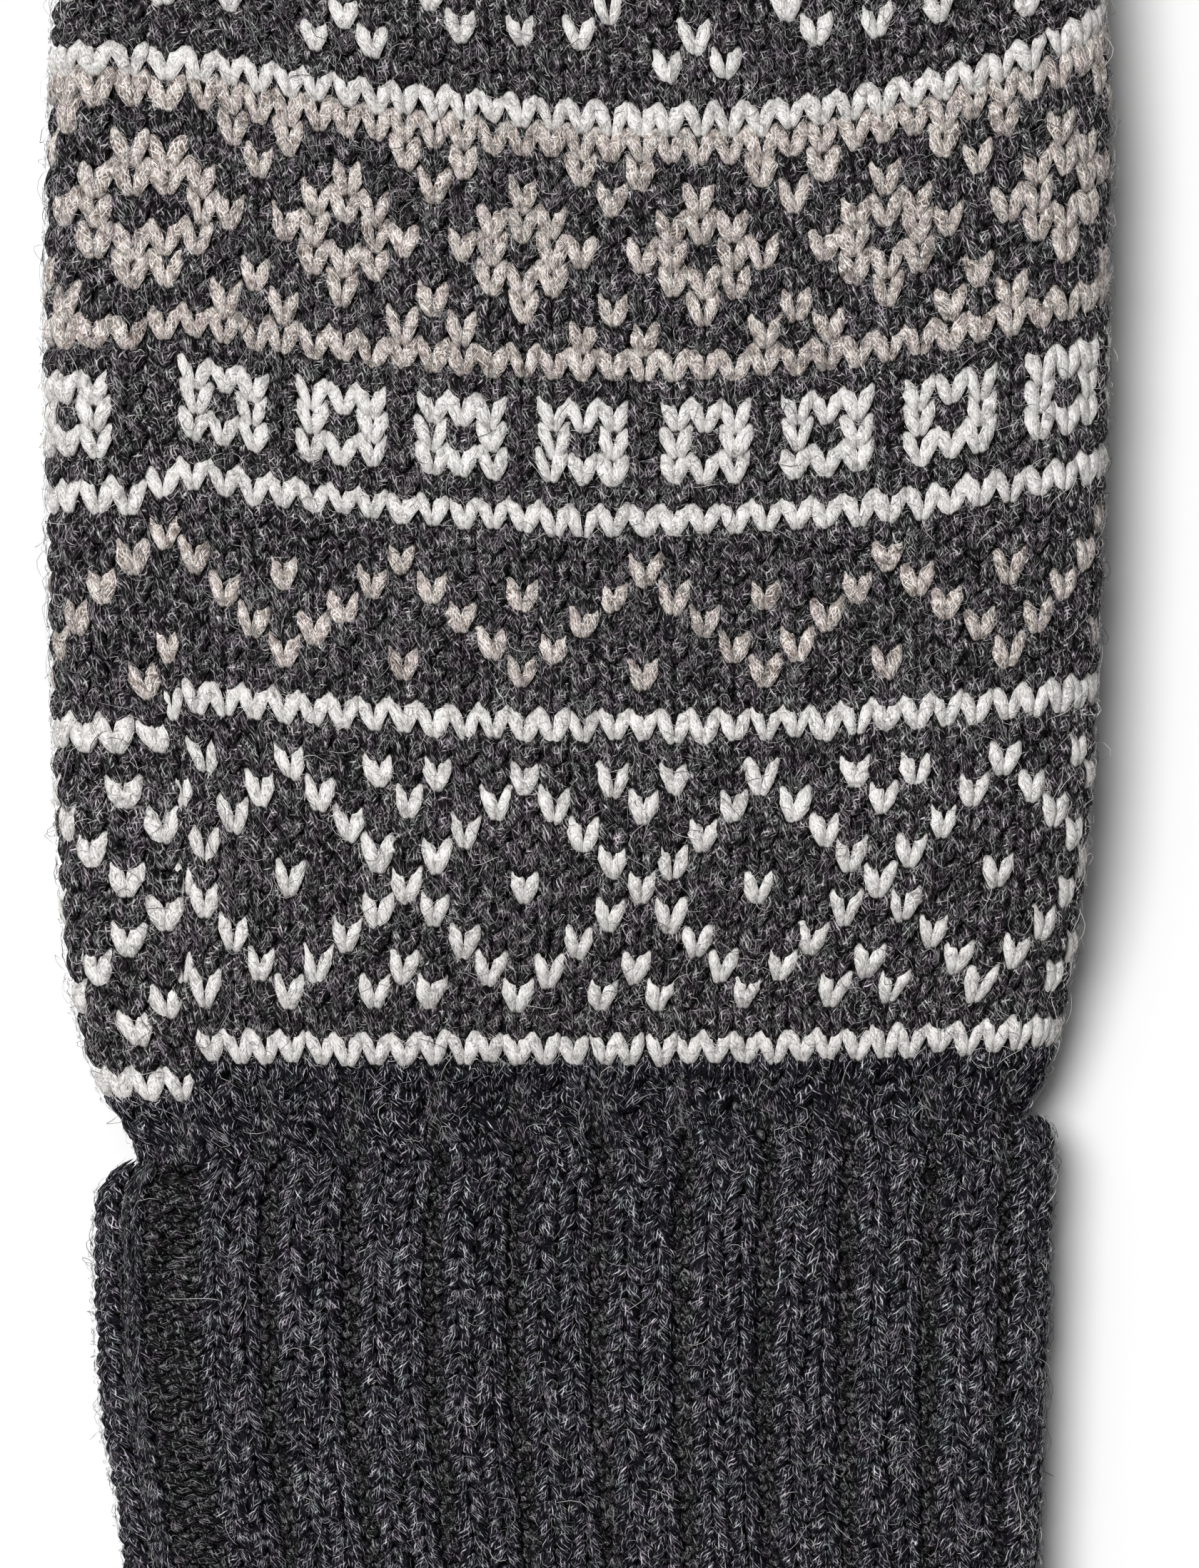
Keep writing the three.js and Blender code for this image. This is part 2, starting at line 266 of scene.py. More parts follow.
def ramp(tree, factor, stops):
    """A colour ramp through stops of place and hex colour."""
    node = add_node(tree, "ShaderNodeValToRGB", {"Fac": factor})
    elements = node.color_ramp.elements
    while len(elements) < len(stops):
        elements.new(0.5)
    for element, (place, code) in zip(elements, stops):
        element.position = place
        element.color = linear(code)
    return node.outputs["Color"]


WAVE_RATE = 20.0  # the phase of a wave texture of scale 1 along a unit of place, in radians
FIBRE_CREST = (0.55, 0.95)  # of a wave's height, the edge of the fibre and its full strength
FIBRE_PIECES = (0.42, 0.70)  # of the noise, where a fibre is broken off and where it is whole
PIECE_STRETCH = 0.8  # of the noise's waves, how many there are to a fibre's length and spacing


def fibre_lines(tree, place, angle, spacing, length, wander):
    """Wandering fibres side by side, 0 between them and up to 1 on them: the crests of a sine
    wave across them, whose phase a noise shifts, cut to lengths by a noise stretched along. They
    lie at angle degrees and spacing mm apart."""
    turn = {"Vector": place, "Rotation": (0, 0, math.radians(angle))}
    turned = add_node(tree, "ShaderNodeMapping", turn).outputs["Vector"]
    scale = 2.0 * math.pi / WAVE_RATE / spacing
    wave = {
        "Vector": turned,
        "Scale": scale,
        "Distortion": wander * WAVE_RATE * scale,
        "Detail": 1.0,
        "Detail Scale": 1.0 / (scale * length),
        "Detail Roughness": 0.4,
    }
    crest = add_node(tree, "ShaderNodeTexWave", wave, bands_direction="Y").outputs["Fac"]
    stretch = {"Vector": turned, "Scale": (PIECE_STRETCH / length, PIECE_STRETCH / spacing, 1.0)}
    pieces = noise(tree, add_node(tree, "ShaderNodeMapping", stretch).outputs["Vector"], 1.0, 1.0)
    line = between(tree, crest, *FIBRE_CREST)
    return calculate(tree, "MULTIPLY", line, between(tree, pieces, *FIBRE_PIECES))


def empty_material(name):
    """A new material and its node tree, with nothing in it."""
    material = bpy.data.materials.new(name)
    material.use_nodes = True
    material.node_tree.nodes.clear()
    return material, material.node_tree


def add_surface(tree, finish):
    """The surface of a tree's material, a plain shader with this finish."""
    shader = add_node(tree, "ShaderNodeBsdfPrincipled", finish)
    add_node(tree, "ShaderNodeOutputMaterial", {"Surface": shader.outputs["BSDF"]})


# The sets of fibres that show on a thread: two crossing along it, one across it and stray ones.
FIRST_FIBRES = {"angle": 12, "spacing": 0.23, "length": 1.2, "wander": 0.17}
SECOND_FIBRES = {"angle": -24, "spacing": 0.29, "length": 1.0, "wander": 0.22}
ACROSS_FIBRES = {"angle": 55, "spacing": 0.36, "length": 0.9, "wander": 0.30}
STRAY_FIBRES = {"angle": 65, "spacing": 0.36, "length": 1.3, "wander": 0.45}

# What the fibres, the ground between them and a thread's own shade put into its tone.
FIBRE_TONE = 0.85
GROUND_TONE = 0.26
SHADE_TONE = 0.04
THIN_AND_SHADED_FELT = 0.5  # the share of the fibres that shows where the felt is thin and in painted shade of fibres shadowing each other
TINTS = [(0.34, "#edf7f1"), (0.50, "#ffffff"), (0.66, "#f7edf8")]


def wool(name, stops, depth, tinted, loose=1.0):
    """Spun wool: two crossing sets of fibres along the thread, and, loose times as strong, one
    across it and one of stray fibres lying over all the threads alike. The strongest of them at a
    place picks the colour, and the ramp's start is the colour between the fibres: a melange's
    black fleece, and painted shade between the strands of the paler yarns. In patches where the
    felt is thin and in painted shade of fibres shadowing each other, only a share of them shows,
    and patches of the ground between them are dimmed as painted shade. A noise tints the colour
    by the tinted share, from lot to lot. The fibres stand up depth mm. High roughness and hardly
    any gloss give the soft matt look of a woollen thread."""
    material, tree = empty_material(name)
    thread = add_node(tree, "ShaderNodeUVMap", uv_map="thread").outputs["UV"]
    place = add_node(tree, "ShaderNodeTexCoord").outputs["Object"]
    scaled = {"Vector": place, "Scale": (1.0 / MM, 1.0 / MM, 1.0 / MM)}
    place = add_node(tree, "ShaderNodeMapping", scaled).outputs["Vector"]
    first = fibre_lines(tree, thread, **FIRST_FIBRES)
    second = fibre_lines(tree, thread, **SECOND_FIBRES)
    across = fibre_lines(tree, thread, **ACROSS_FIBRES)
    stray = fibre_lines(tree, place, **STRAY_FIBRES)
    lines = calculate(tree, "MAXIMUM", first, second)
    over = calculate(tree, "MULTIPLY", calculate(tree, "MAXIMUM", across, stray), loose)
    # Patches where the felt is thin and in painted shade of fibres shadowing each other: only a share of the
    # fibres shows.
    thin_and_shaded_cover = between(tree, noise(tree, place, 1.5, 1.0), 0.34, 0.54, low=THIN_AND_SHADED_FELT)
    hairs = calculate(tree, "MULTIPLY", calculate(tree, "MAXIMUM", lines, over), thin_and_shaded_cover)
    # Patches of a dimmed ground between the fibres: painted shade of fibres shadowing each other.
    ground_shade = between(tree, noise(tree, place, 1.1, 2.0), 0.32, 0.72, high=GROUND_TONE)
    shade = add_node(tree, "ShaderNodeAttribute", attribute_name="shade").outputs["Fac"]
    ground = calculate(tree, "MULTIPLY_ADD", shade, SHADE_TONE, ground_shade)
    tone = calculate(tree, "MULTIPLY_ADD", hairs, FIBRE_TONE, ground)
    dyed = {0: tinted, 6: ramp(tree, tone, stops), 7: ramp(tree, noise(tree, place, 0.5, 2.0), TINTS)}
    colour = add_node(tree, "ShaderNodeMix", dyed, data_type="RGBA", blend_type="MULTIPLY")
    relief = {"Strength": 1.0, "Distance": depth * MM, "Height": lines}
    finish = {
        "Base Color": colour.outputs[2],
        "Roughness": 0.9,
        "IOR": 1.5,
        "Specular IOR Level": 0.05,
        "Normal": add_node(tree, "ShaderNodeBump", relief).outputs["Normal"],
    }
    add_surface(tree, finish)
    return material


SHELL_OUT = -1.15  # the wall's two faces, out from the outline
SHELL_IN = -2.6
OUTER_INSET = 2.0  # how far the two faces stop short of the fingertips' end
INNER_INSET = 3.6
SHELL_AROUND = 64
BODY_RINGS = 28
TIP_RINGS = 16
LAST_RING = 0.48 * math.pi  # on the tip's quarter turn, just short of its end
HAND_EDGE_Y = -58.5


def hand_rings(out, inset):
    """Rings of the hand's wall from the wrist to inset mm short of the fingertips' end, closer
    together there. Each ring of the tip is the tube's own, moved back by its share of the inset."""
    body = np.linspace(HAND_EDGE_Y, TIP_START_Y, BODY_RINGS, endpoint=False)
    tip = TIP_START_Y + (TIP_Y - TIP_START_Y) * np.sin(np.linspace(0.0, LAST_RING, TIP_RINGS))
    share = np.arange(SHELL_AROUND) / SHELL_AROUND
    y, share = np.meshgrid(np.concatenate([body, tip]), share, indexing="ij")
    left, right, thick, _ = section_at(y)
    points = tube_point(share * oval_length(left, right, thick), y, out)
    points[..., 1] -= inset * np.maximum(y - TIP_START_Y, 0.0) / (TIP_Y - TIP_START_Y)
    return points


hand_shell = shell("hand_shell", hand_rings(SHELL_OUT, OUTER_INSET), hand_rings(SHELL_IN, INNER_INSET))
# The backs of the loops: the same melange as the hand's, but felted, and darkened in colour as
# painted shade of the stitches in front of them.
shell_shade_stops = [(0.0, "#040404"), (0.35, "#1d1c1e"), (1.0, "#a3a1a3")]
shaded_loop_backs = wool("loop_backs_painted_shade_wool", shell_shade_stops, 0.06, tinted=1.0)
hand_shell.data.materials.append(shaded_loop_backs)
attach(hand_shell, "root")
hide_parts("hand")


# Knit stitches of the hand
# Stranded stocking stitch in three yarns, knitted in rounds of 72 stitches that are counted from
# a seam on the back's outer side. Lying slack, its rows sag at the middle of the back and step
# down across the seam.

COLUMNS = 72
FIRST_ROW = -4  # hidden in the turned-up cuff
LAST_ROW = 61
BACK_COLUMNS = 32.0  # from the seam to the middle of the thumb-side fold
PALM_END = 67  # the first stitch that lies on the back again, left of the seam
BACK_PITCH = 2.97
ROW_PITCH = 2.57
GATHER_Y = -40.0  # where the columns begin to draw together at the wrist
HAND_ROUND = 226.0  # the way round the hand where it is widest
FIRST_STITCH = 2.5  # from the seam to the middle of the first stitch
LAST_STITCH = 1.7  # from the middle of the last stitch to the seam

SEAM = [
    {"y": -40.0, "x": -38.9},
    {"y": -13.0, "x": -39.5},
    {"y": 20.0, "x": -40.5},
    {"y": 66.0, "x": -41.2},
]

# Each line of the pattern, from the cuff up: its height at its lowest stitch on the back, which
# stitch that is, its rise from there to the seam and to the thumb side, and its drop at the seam.
LINES = [
    {"row": -6, "y": -60.0, "lowest": 14.0, "to_seam": 0.0, "to_thumb": 1.0, "drop": 3.0},
    {"row": 0, "y": -45.2, "lowest": 13.0, "to_seam": 0.1, "to_thumb": 2.0, "drop": 4.0},
    {"row": 12, "y": -13.7, "lowest": 15.0, "to_seam": 3.1, "to_thumb": 4.5, "drop": 4.2},
    {"row": 20, "y": 6.0, "lowest": 15.0, "to_seam": 4.9, "to_thumb": 7.0, "drop": 2.2},
    {"row": 26, "y": 20.9, "lowest": 15.3, "to_seam": 4.8, "to_thumb": 9.4, "drop": 1.0},
    {"row": 35, "y": 44.7, "lowest": 17.0, "to_seam": 6.4, "to_thumb": 12.5, "drop": -0.8},
]


def line_at(column, row):
    """The table of lines at any row, in straight steps between its own rows."""
    rows = [line["row"] for line in LINES]
    return np.interp(row, rows, [line[column] for line in LINES])


def row_y(c, r):
    """Height along the hand of stitch c in row r. On the back the row is two half parabolas from
    its lowest stitch. Round the palm it runs straight from the thumb side to the seam. Above the
    last line of the table rows straighten out to a level one at the fingertips."""
    low = line_at("lowest", r)
    seam_side = line_at("to_seam", r) * ((low - np.minimum(c, low)) / low) ** 2
    span = BACK_COLUMNS - low
    thumb_side = line_at("to_thumb", r) * ((np.clip(c, low, BACK_COLUMNS) - low) / span) ** 2
    base = line_at("y", r)
    at_seam = base + line_at("to_seam", r) - line_at("drop", r)
    round_palm = np.clip((c - BACK_COLUMNS) / (COLUMNS - 0.5 - BACK_COLUMNS), 0.0, 1.0)
    back = base + seam_side + thumb_side
    y = back + (at_seam - base - line_at("to_thumb", r)) * round_palm
    last = LINES[-1]["row"]
    to_tip = np.clip((r - last) / (LAST_ROW + 0.5 - last), 0.0, 1.0)
    return y + (TIP_Y - 0.5 - y) * to_tip


# How far the stitches beside the seam stray from even spacing: the first of a round, by less and
# less up to the middle of the back, and the last, by a share more for each stitch before it.
STRAY = [
    {"y": -40.0, "first": 0.4, "last": 0.6, "spread": 0.7},
    {"y": -20.0, "first": 0.8, "last": 0.8, "spread": 0.8},
    {"y": -11.0, "first": 0.2, "last": -0.5, "spread": 0.4},
    {"y": 0.0, "first": 0.5, "last": -1.4, "spread": 0.2},
    {"y": 18.0, "first": 0.9, "last": -1.5, "spread": 0.4},
    {"y": 28.0, "first": 1.3, "last": -0.7, "spread": 0.7},
    {"y": 45.0, "first": 2.3, "last": -0.6, "spread": 0.7},
    {"y": 66.0, "first": 2.3, "last": -0.6, "spread": 0.7},
]
STRAY_COLUMNS = 18.0
SPREAD_COLUMNS = 3.0


def stray_at(c, y):
    """How far stitch c at y strays along the round, by the table."""
    near_first = np.clip(1.0 - c / STRAY_COLUMNS, 0.0, 1.0)
    before_last = np.clip(COLUMNS - 1 - c, 0.0, COLUMNS)
    spread = table_at(STRAY, "y", "spread", y) * np.minimum(before_last, SPREAD_COLUMNS)
    near_last = np.clip(1.0 - (before_last - SPREAD_COLUMNS) / STRAY_COLUMNS, 0.0, 1.0)
    last = (table_at(STRAY, "y", "last", y) - spread) * near_last
    return np.where(c <= BACK_COLUMNS, table_at(STRAY, "y", "first", y) * near_first, last)


def column_share(c):
    """How far round the hand stitch c lies, as a share: evenly on the back, then evenly again
    but wider over the palm and up to the seam."""
    first = FIRST_STITCH / HAND_ROUND
    pitch = BACK_PITCH / HAND_ROUND
    fold = first + pitch * BACK_COLUMNS
    last = 1.0 - LAST_STITCH / HAND_ROUND
    beyond = fold + (last - fold) * (c - BACK_COLUMNS) / (COLUMNS - 1 - BACK_COLUMNS)
    return np.where(c <= BACK_COLUMNS, first + pitch * c, beyond)


def hand_arc(c, y, aside=0.0):
    """Way round the tube of column c at y, aside mm further. Above the wrist's gathers the
    columns share out the round at y itself. In the gathers each is drawn in by the cube of its
    share of the way from the middle to the side fold, so that the inner ones stay upright. At
    the fingertips they run straight on, and the outer ones end at the side folds."""
    known_y = np.clip(y, GATHER_Y, TIP_START_Y)
    left, right, thick, _ = section_at(known_y)
    seam = table_at(SEAM, "y", "x", known_y) + left - thick / 2
    around = oval_length(left, right, thick)
    arc = np.mod(seam + column_share(c) * around + stray_at(c, known_y) + aside, around)
    run = left + right - thick
    half_round = around / 2
    over_back = np.mod(arc - run / 2 + half_round / 2, around) < half_round
    middle = np.where(over_back, run / 2, run / 2 + half_round)
    from_middle = np.mod(arc - middle + half_round, around) - half_round
    left, right, thick, _ = section_at(y)
    here_run = left + right - thick
    here_half = here_run + math.pi * thick / 2
    here_middle = np.where(over_back, here_run / 2, here_run / 2 + here_half)
    straight = here_middle + from_middle
    drawn_in = (half_round - here_half) / 2 * (from_middle / (half_round / 2)) ** 3
    arc = np.where(y > TIP_START_Y, straight, np.where(y < GATHER_Y, straight - drawn_in, arc))
    return arc, from_middle, here_half


FURROW_X = 10.6  # the middle of one furrow of the ribbing on the back
RIB_SPACING = 8.1
RIBBING_DEPTH = 1.7
RIBBING_SQUEEZE = 0.75
RIBBING_ROWS = (0.5, 2.0)  # under the lowest line, where the ribbing starts and where it is full


def hand_point(c, r, out):
    """A point of the hand from its column, row and height over the fabric's middle surface. The
    rows under the lowest line are ribbed, in line with the cuff: a sine across draws them
    together at each furrow, and a cubed cosine sinks them there."""
    y = row_y(c, r)
    arc = hand_arc(c, y)[0]
    ribbed = ease(-r, *RIBBING_ROWS)
    phase = 2.0 * math.pi * (tube_point(arc, y, out)[..., 0] - FURROW_X) / RIB_SPACING
    to_right = np.where((c < BACK_COLUMNS) | (c > PALM_END - 1), 1.0, -1.0)
    arc = arc - to_right * ribbed * RIBBING_SQUEEZE * np.sin(phase)
    sunk = RIBBING_DEPTH * ribbed * (0.5 + 0.5 * np.cos(phase)) ** 3
    return tube_point(arc, y, out - sunk)


# The jacquard chart. Each band is a small repeat, charted from the cuff up. The first
# sign of a row is the stitch on the motif's axis, and an x is a stitch in the band's own yarn.
BANDS = [
    {
        "yarn": "white", "row": 2, "axis": 3,
        "chart": [
            "x..x.x..", ".x..x..x", "..x...x.", "...x.x..", "x...x...", "...x.x..", "..x...x.", ".x..x..x",
            "x..x.x..",
        ],
    },
    {
        "yarn": "beige", "row": 14, "axis": 7,
        "chart": ["x...x...", "...x.x..", "..x...x.", ".x..x..x", "x......."],
    },
    {"yarn": "white", "row": 22, "axis": 1, "chart": ["xx.x", ".x.x", "xx.x"]},
    {
        "yarn": "beige", "row": 27, "axis": 5,
        "chart": ["..x.x.", "x..x..", "xx...x", ".xx.xx", "xx...x", "x..x..", "..x.x."],
    },
    {
        "yarn": "white", "row": 37, "axis": 5,
        "chart": [
            ".x.........x", "x...x.x.x...", "...x.....x..", "..x...x...x.", ".x...x.x...x", "x...........",
            ".x...x.x...x", "..x...x...x.", "...x.....x..", "x...x.x.x...", ".x.........x",
        ],
    },
    {"yarn": "white", "row": 0, "axis": 0, "chart": ["x"]},
    {"yarn": "white", "row": 12, "axis": 0, "chart": ["x"]},
    {"yarn": "white", "row": 20, "axis": 0, "chart": ["x"]},
    {"yarn": "beige", "row": 26, "axis": 0, "chart": ["x"]},
    {"yarn": "beige", "row": 34, "axis": 0, "chart": ["x"]},
    {"yarn": "white", "row": 35, "axis": 0, "chart": ["x"]},
    {"yarn": "white", "row": 49, "axis": 0, "chart": ["x"]},
]


def yarn_of(column, row):
    """Name of the yarn of each stitch: the band's own where its chart has an x, the ribbing's
    under the lowest line, or else charcoal."""
    yarn = np.where(row < 0, "rib", "charcoal").astype(object)
    for band in BANDS:
        repeat = len(band["chart"][0])
        for up, signs in enumerate(band["chart"]):
            marked = np.array([sign == "x" for sign in signs])
            hit = (row == band["row"] + up) & marked[(column - band["axis"]) % repeat]
            yarn[hit] = band["yarn"]
    return yarn


# Charcoal melange: black and grey fleece carded together before spinning. The eye gets a nearly
# black ground with single pale fibres all over it.
charcoal_stops = [(0.0, "#060506"), (0.3, "#252325"), (0.6, "#807c7e"), (1.0, "#e0dddd")]
charcoal_melange = wool("charcoal_melange_wool", charcoal_stops, 0.06, tinted=1.0)

# The ribbing's melange: spun finer and tighter, from a bluer fleece. Fewer loose fibres cross it,
# so its stitches look cleaner and colder.
rib_stops = [(0.0, "#040407"), (0.3, "#212026"), (0.6, "#a19fa5"), (1.0, "#fffdff")]
rib_melange = wool("rib_melange_wool", rib_stops, 0.08, tinted=1.0, loose=0.35)

# Off-white wool: undyed fleece. Its fibres are all alike, and the ramp's greyer start is painted
# shade between them, which shows its spin.
white_stops = [(0.0, "#a29f9b"), (0.25, "#dbd8d5"), (0.6, "#f8f6f3"), (1.0, "#fffdfb")]
off_white_wool = wool("off_white_wool", white_stops, 0.05, tinted=0.15, loose=0.6)

# Pinkish beige wool: two loose plies of natural fleece. Brown strands show between pale ones,
# and the ramp's dark start adds painted shade in the gaps between them.
beige_stops = [(0.0, "#5a4f49"), (0.2, "#ada29b"), (0.42, "#eee4de"), (0.72, "#fffbf7")]
beige_two_ply = wool("beige_two_ply_wool", beige_stops, 0.12, tinted=0.3, loose=0.6)

YARNS = {
    "charcoal": charcoal_melange, "rib": rib_melange, "white": off_white_wool, "beige": beige_two_ply,
}

# How much the threads of a yarn are darkened in colour here, as painted shade: the ribbing's rows
# on the hand, for the shade of its furrows.
PAINTED_SHADES = {"charcoal": 0.0, "rib": 1.3, "white": 0.0, "beige": 0.0}


def tube_faces(rings, sides):
    """Faces of one closed tube, of rings of sides points and then a point at each end, and the
    ring and side number of each corner. The start point is ring -1, and the end point is the
    ring after the last."""
    ring, side = np.meshgrid(np.arange(rings - 1), np.arange(sides), indexing="ij")
    after = (side + 1) % sides
    quads = np.stack([ring * sides + side, ring * sides + after], -1)
    quads = np.concatenate([quads, quads[..., ::-1] + sides], -1).reshape(-1, 4)
    quad_at = np.stack([ring, side, ring, side + 1, ring + 1, side + 1, ring + 1, side], -1)
    side = np.arange(sides)
    after = (side + 1) % sides
    start = np.stack([np.full(sides, rings * sides), after, side], -1)
    last = (rings - 1) * sides
    end = np.stack([np.full(sides, rings * sides + 1), last + side, last + after], -1)
    start_at = np.stack([side * 0 - 1, side + 0.5, side * 0, side + 1, side * 0, side], -1)
    final = side * 0 + rings - 1
    end_at = np.stack([final + 1, side + 0.5, final, side, final, side + 1], -1)
    tris = np.concatenate([start, end])
    tri_at = np.concatenate([start_at, end_at]).reshape(-1, 2)
    return quads, tris, np.concatenate([quad_at.reshape(-1, 2), tri_at])


TABLE_GAP = 0.02  # between the table and the lowest threads, so that none lies in it
UV_REACH = 400.0  # of the mm of spun yarn, from which each thread takes a stretch of its own


def make_threads(name, place, paths, across, thick, sides, rng, pitch, shade=None, painted_shade=0.0):
    """Many short closed threads in one mesh. paths holds points (threads, points, 3) in columns,
    rows and mm out of the fabric, of which the first and last are the thread's pointed ends.
    across and thick are half sizes in mm at the points between, which become its rings. place
    turns columns, rows and height into points of the piece, and the table presses them flat. A
    thread's shade, where none is given, is even chance from -1 to 1, less its painted shade, which
    darkens its colour where it would lie in shade."""
    count, rings = across.shape
    steps = np.gradient(paths, axis=1)[:, 1:-1, :2] * pitch
    steps = steps / np.linalg.norm(steps, axis=-1, keepdims=True)
    sideways = np.stack([steps[..., 1], -steps[..., 0]], -1) / pitch
    angle = math.pi / 2 + 2.0 * math.pi * np.arange(sides) / sides
    ring = np.empty((count, rings, sides, 3))
    spread = across[..., None] * np.cos(angle)
    ring[..., :2] = paths[:, 1:-1, None, :2] + sideways[:, :, None, :] * spread[..., None]
    ring[..., 2] = paths[:, 1:-1, None, 2] + thick[..., None] * np.sin(angle)
    flat = np.concatenate([ring.reshape(count, -1, 3), paths[:, [0, -1]]], 1)
    points = place(flat[..., 0], flat[..., 1], flat[..., 2]).reshape(-1, 3)
    points[:, 2] = np.maximum(points[:, 2], TABLE_GAP)
    quads, tris, corner_at = tube_faces(rings, sides)
    offset = (np.arange(count) * (rings * sides + 2))[:, None, None]
    faces = [(quads[None] + offset).reshape(-1, 4), (tris[None] + offset).reshape(-1, 3)]
    length = np.linalg.norm(np.diff(paths[..., :2] * pitch, axis=1), axis=-1).mean(0)
    along = np.interp(corner_at[:, 0], np.arange(-1, rings + 1), np.append(0.0, np.cumsum(length)))
    around = corner_at[:, 1] * math.pi * (across.mean() + thick.mean()) / sides
    uv = np.stack([along, around], -1)[None] + rng.uniform(0.0, UV_REACH, (count, 1, 2))
    uv = np.concatenate([uv[:, : quads.size].reshape(-1, 2), uv[:, quads.size :].reshape(-1, 2)])
    if shade is None:
        shade = rng.uniform(-1.0, 1.0, count) - painted_shade
    return make_piece(name, points, faces, uv, np.repeat(shade, rings * sides + 2))


# A knit stitch shows as a V: two plump legs of yarn, touching at the bottom, that slip under
# the V above at their thinner tops.
FABRIC_OUT = -0.78  # the legs' middle line, below the outline so that the plump yarn reaches it

# A leg from its foot, where it comes up through the stitch below, to its top, which dives
# behind the stitch above: its height in mm and its half width and half thickness.
LEG = [
    {"way": 0.00, "out": -0.42, "width": 0.30, "thick": 0.30},
    {"way": 0.12, "out": -0.02, "width": 0.45, "thick": 0.44},
    {"way": 0.40, "out": 0.26, "width": 0.73, "thick": 0.50},
    {"way": 0.66, "out": 0.11, "width": 0.82, "thick": 0.48},
    {"way": 0.90, "out": -0.40, "width": 0.52, "thick": 0.42},
    {"way": 1.00, "out": -0.62, "width": 0.25, "thick": 0.25},
]
LEG_LEAN = (0.05, 0.48)  # in columns from the V's middle, at a leg's foot and at its top
LEG_FLARE = 1.15  # the power of the way up by which a leg leans out
FINE_LEG = [0.0, 0.12, 0.40, 0.66, 0.90, 1.0]
PLAIN_LEG = [0.0, 0.16, 0.52, 0.86, 1.0]

# How much the stitches, their legs and the points along a leg vary, as standard deviations in
# columns, rows and mm out of the fabric, and as shares of size and plumpness.
STITCH_VARIES = {"column": 0.035, "row": 0.05, "size": 0.05, "out": 0.07}
LEG_VARIES = {"column": 0.02, "row": 0.03, "plump": 0.06}
POINT_VARIES = {"column": 0.012, "plump": 0.07}


def leg_at(column, way):
    """A column of the leg table at ways along the leg, in straight steps."""
    return np.interp(way, [row["way"] for row in LEG], [row[column] for row in LEG])


def knit_legs(column, row, side, way, rng, foot=-0.66, top=0.82, girth=1.0):
    """Paths and half sizes of legs from foot to top, in rows from the middle of their row. A
    leg leans out from its V's middle, in columns. Each stitch varies a little in place, size
    and plumpness."""
    t = np.array(way)[None, :]
    stitch = np.repeat(rng.normal(0.0, 1.0, (4, len(column) // 2, 1)), 2, axis=1)
    leg = rng.normal(0.0, 1.0, (3, len(column), 1))
    size = 1.0 + STITCH_VARIES["size"] * stitch[2]
    lean = LEG_LEAN[0] + (LEG_LEAN[1] - LEG_LEAN[0]) * t**LEG_FLARE
    c = column[:, None] + side[:, None] * lean * size
    c = c + STITCH_VARIES["column"] * stitch[0] + LEG_VARIES["column"] * leg[0]
    r = row[:, None] + (foot + (top - foot) * t) * size
    r = r + STITCH_VARIES["row"] * stitch[1] + LEG_VARIES["row"] * leg[1]
    c = c + rng.normal(0.0, POINT_VARIES["column"], c.shape)
    out = FABRIC_OUT + leg_at("out", t) * girth + STITCH_VARIES["out"] * stitch[3]
    uneven = rng.normal(0.0, POINT_VARIES["plump"], (len(column), len(way) - 2))
    plump = girth * (1.0 + LEG_VARIES["plump"] * leg[2] + uneven)
    across = leg_at("width", t[:, 1:-1]) * plump
    thick = leg_at("thick", t[:, 1:-1]) * plump
    return np.stack([c, r, out], -1), across, thick


def both_legs(column, row):
    """Each stitch twice, with the sides of its two legs."""
    return np.repeat(column, 2), np.repeat(row, 2), np.tile([-1.0, 1.0], len(column))


stitch_rng = np.random.default_rng(721)
grid_c, grid_r = np.meshgrid(np.arange(COLUMNS), np.arange(FIRST_ROW, LAST_ROW), indexing="ij")
grid_c = grid_c.ravel()
grid_r = grid_r.ravel()
grid_y = row_y(grid_c.astype(float), grid_r.astype(float))
BAND_START_Y = 68.0
BAND_COLUMNS = 2
BAND_TUCK = 0.6  # how far under the band's edge the last stitches reach


def off_the_band(c, y):
    """Whether a stitch is clear of the band that follows the fingertips' outline."""
    _, from_middle, tip_half = hand_arc(c, y)
    band_edge = (tip_half - BAND_COLUMNS * BACK_PITCH) / 2 + BAND_TUCK
    return (y < BAND_START_Y) | (np.abs(from_middle) < band_edge)


kept = off_the_band(grid_c.astype(float), grid_y)

THUMB_X = 18.0
THUMB_HALF_WIDTH = 18.0
THUMB_BASE = (-20.0, 5.0)  # the ends of the thumb's opening along the palm
OPENING_TUCK = 1.0  # how far over the opening's edge the stitches round it reach
middle_of_stitch = hand_point(grid_c.astype(float), grid_r.astype(float), 0.0)
palm_side = (grid_c > BACK_COLUMNS) & (grid_c < PALM_END)
hole_half = (THUMB_BASE[1] - THUMB_BASE[0]) / 2
hole_x = np.maximum(np.abs(middle_of_stitch[:, 0] - THUMB_X) - (THUMB_HALF_WIDTH - hole_half), 0.0)
hole_y = middle_of_stitch[:, 1] - sum(THUMB_BASE) / 2
in_opening = palm_side & (np.hypot(hole_x, hole_y) < hole_half - OPENING_TUCK)
kept &= ~in_opening
grid_c, grid_r, palm_side = grid_c[kept], grid_r[kept], palm_side[kept]
grid_yarn = yarn_of(grid_c, grid_r)
HAND_PITCH = np.array([BACK_PITCH, ROW_PITCH])


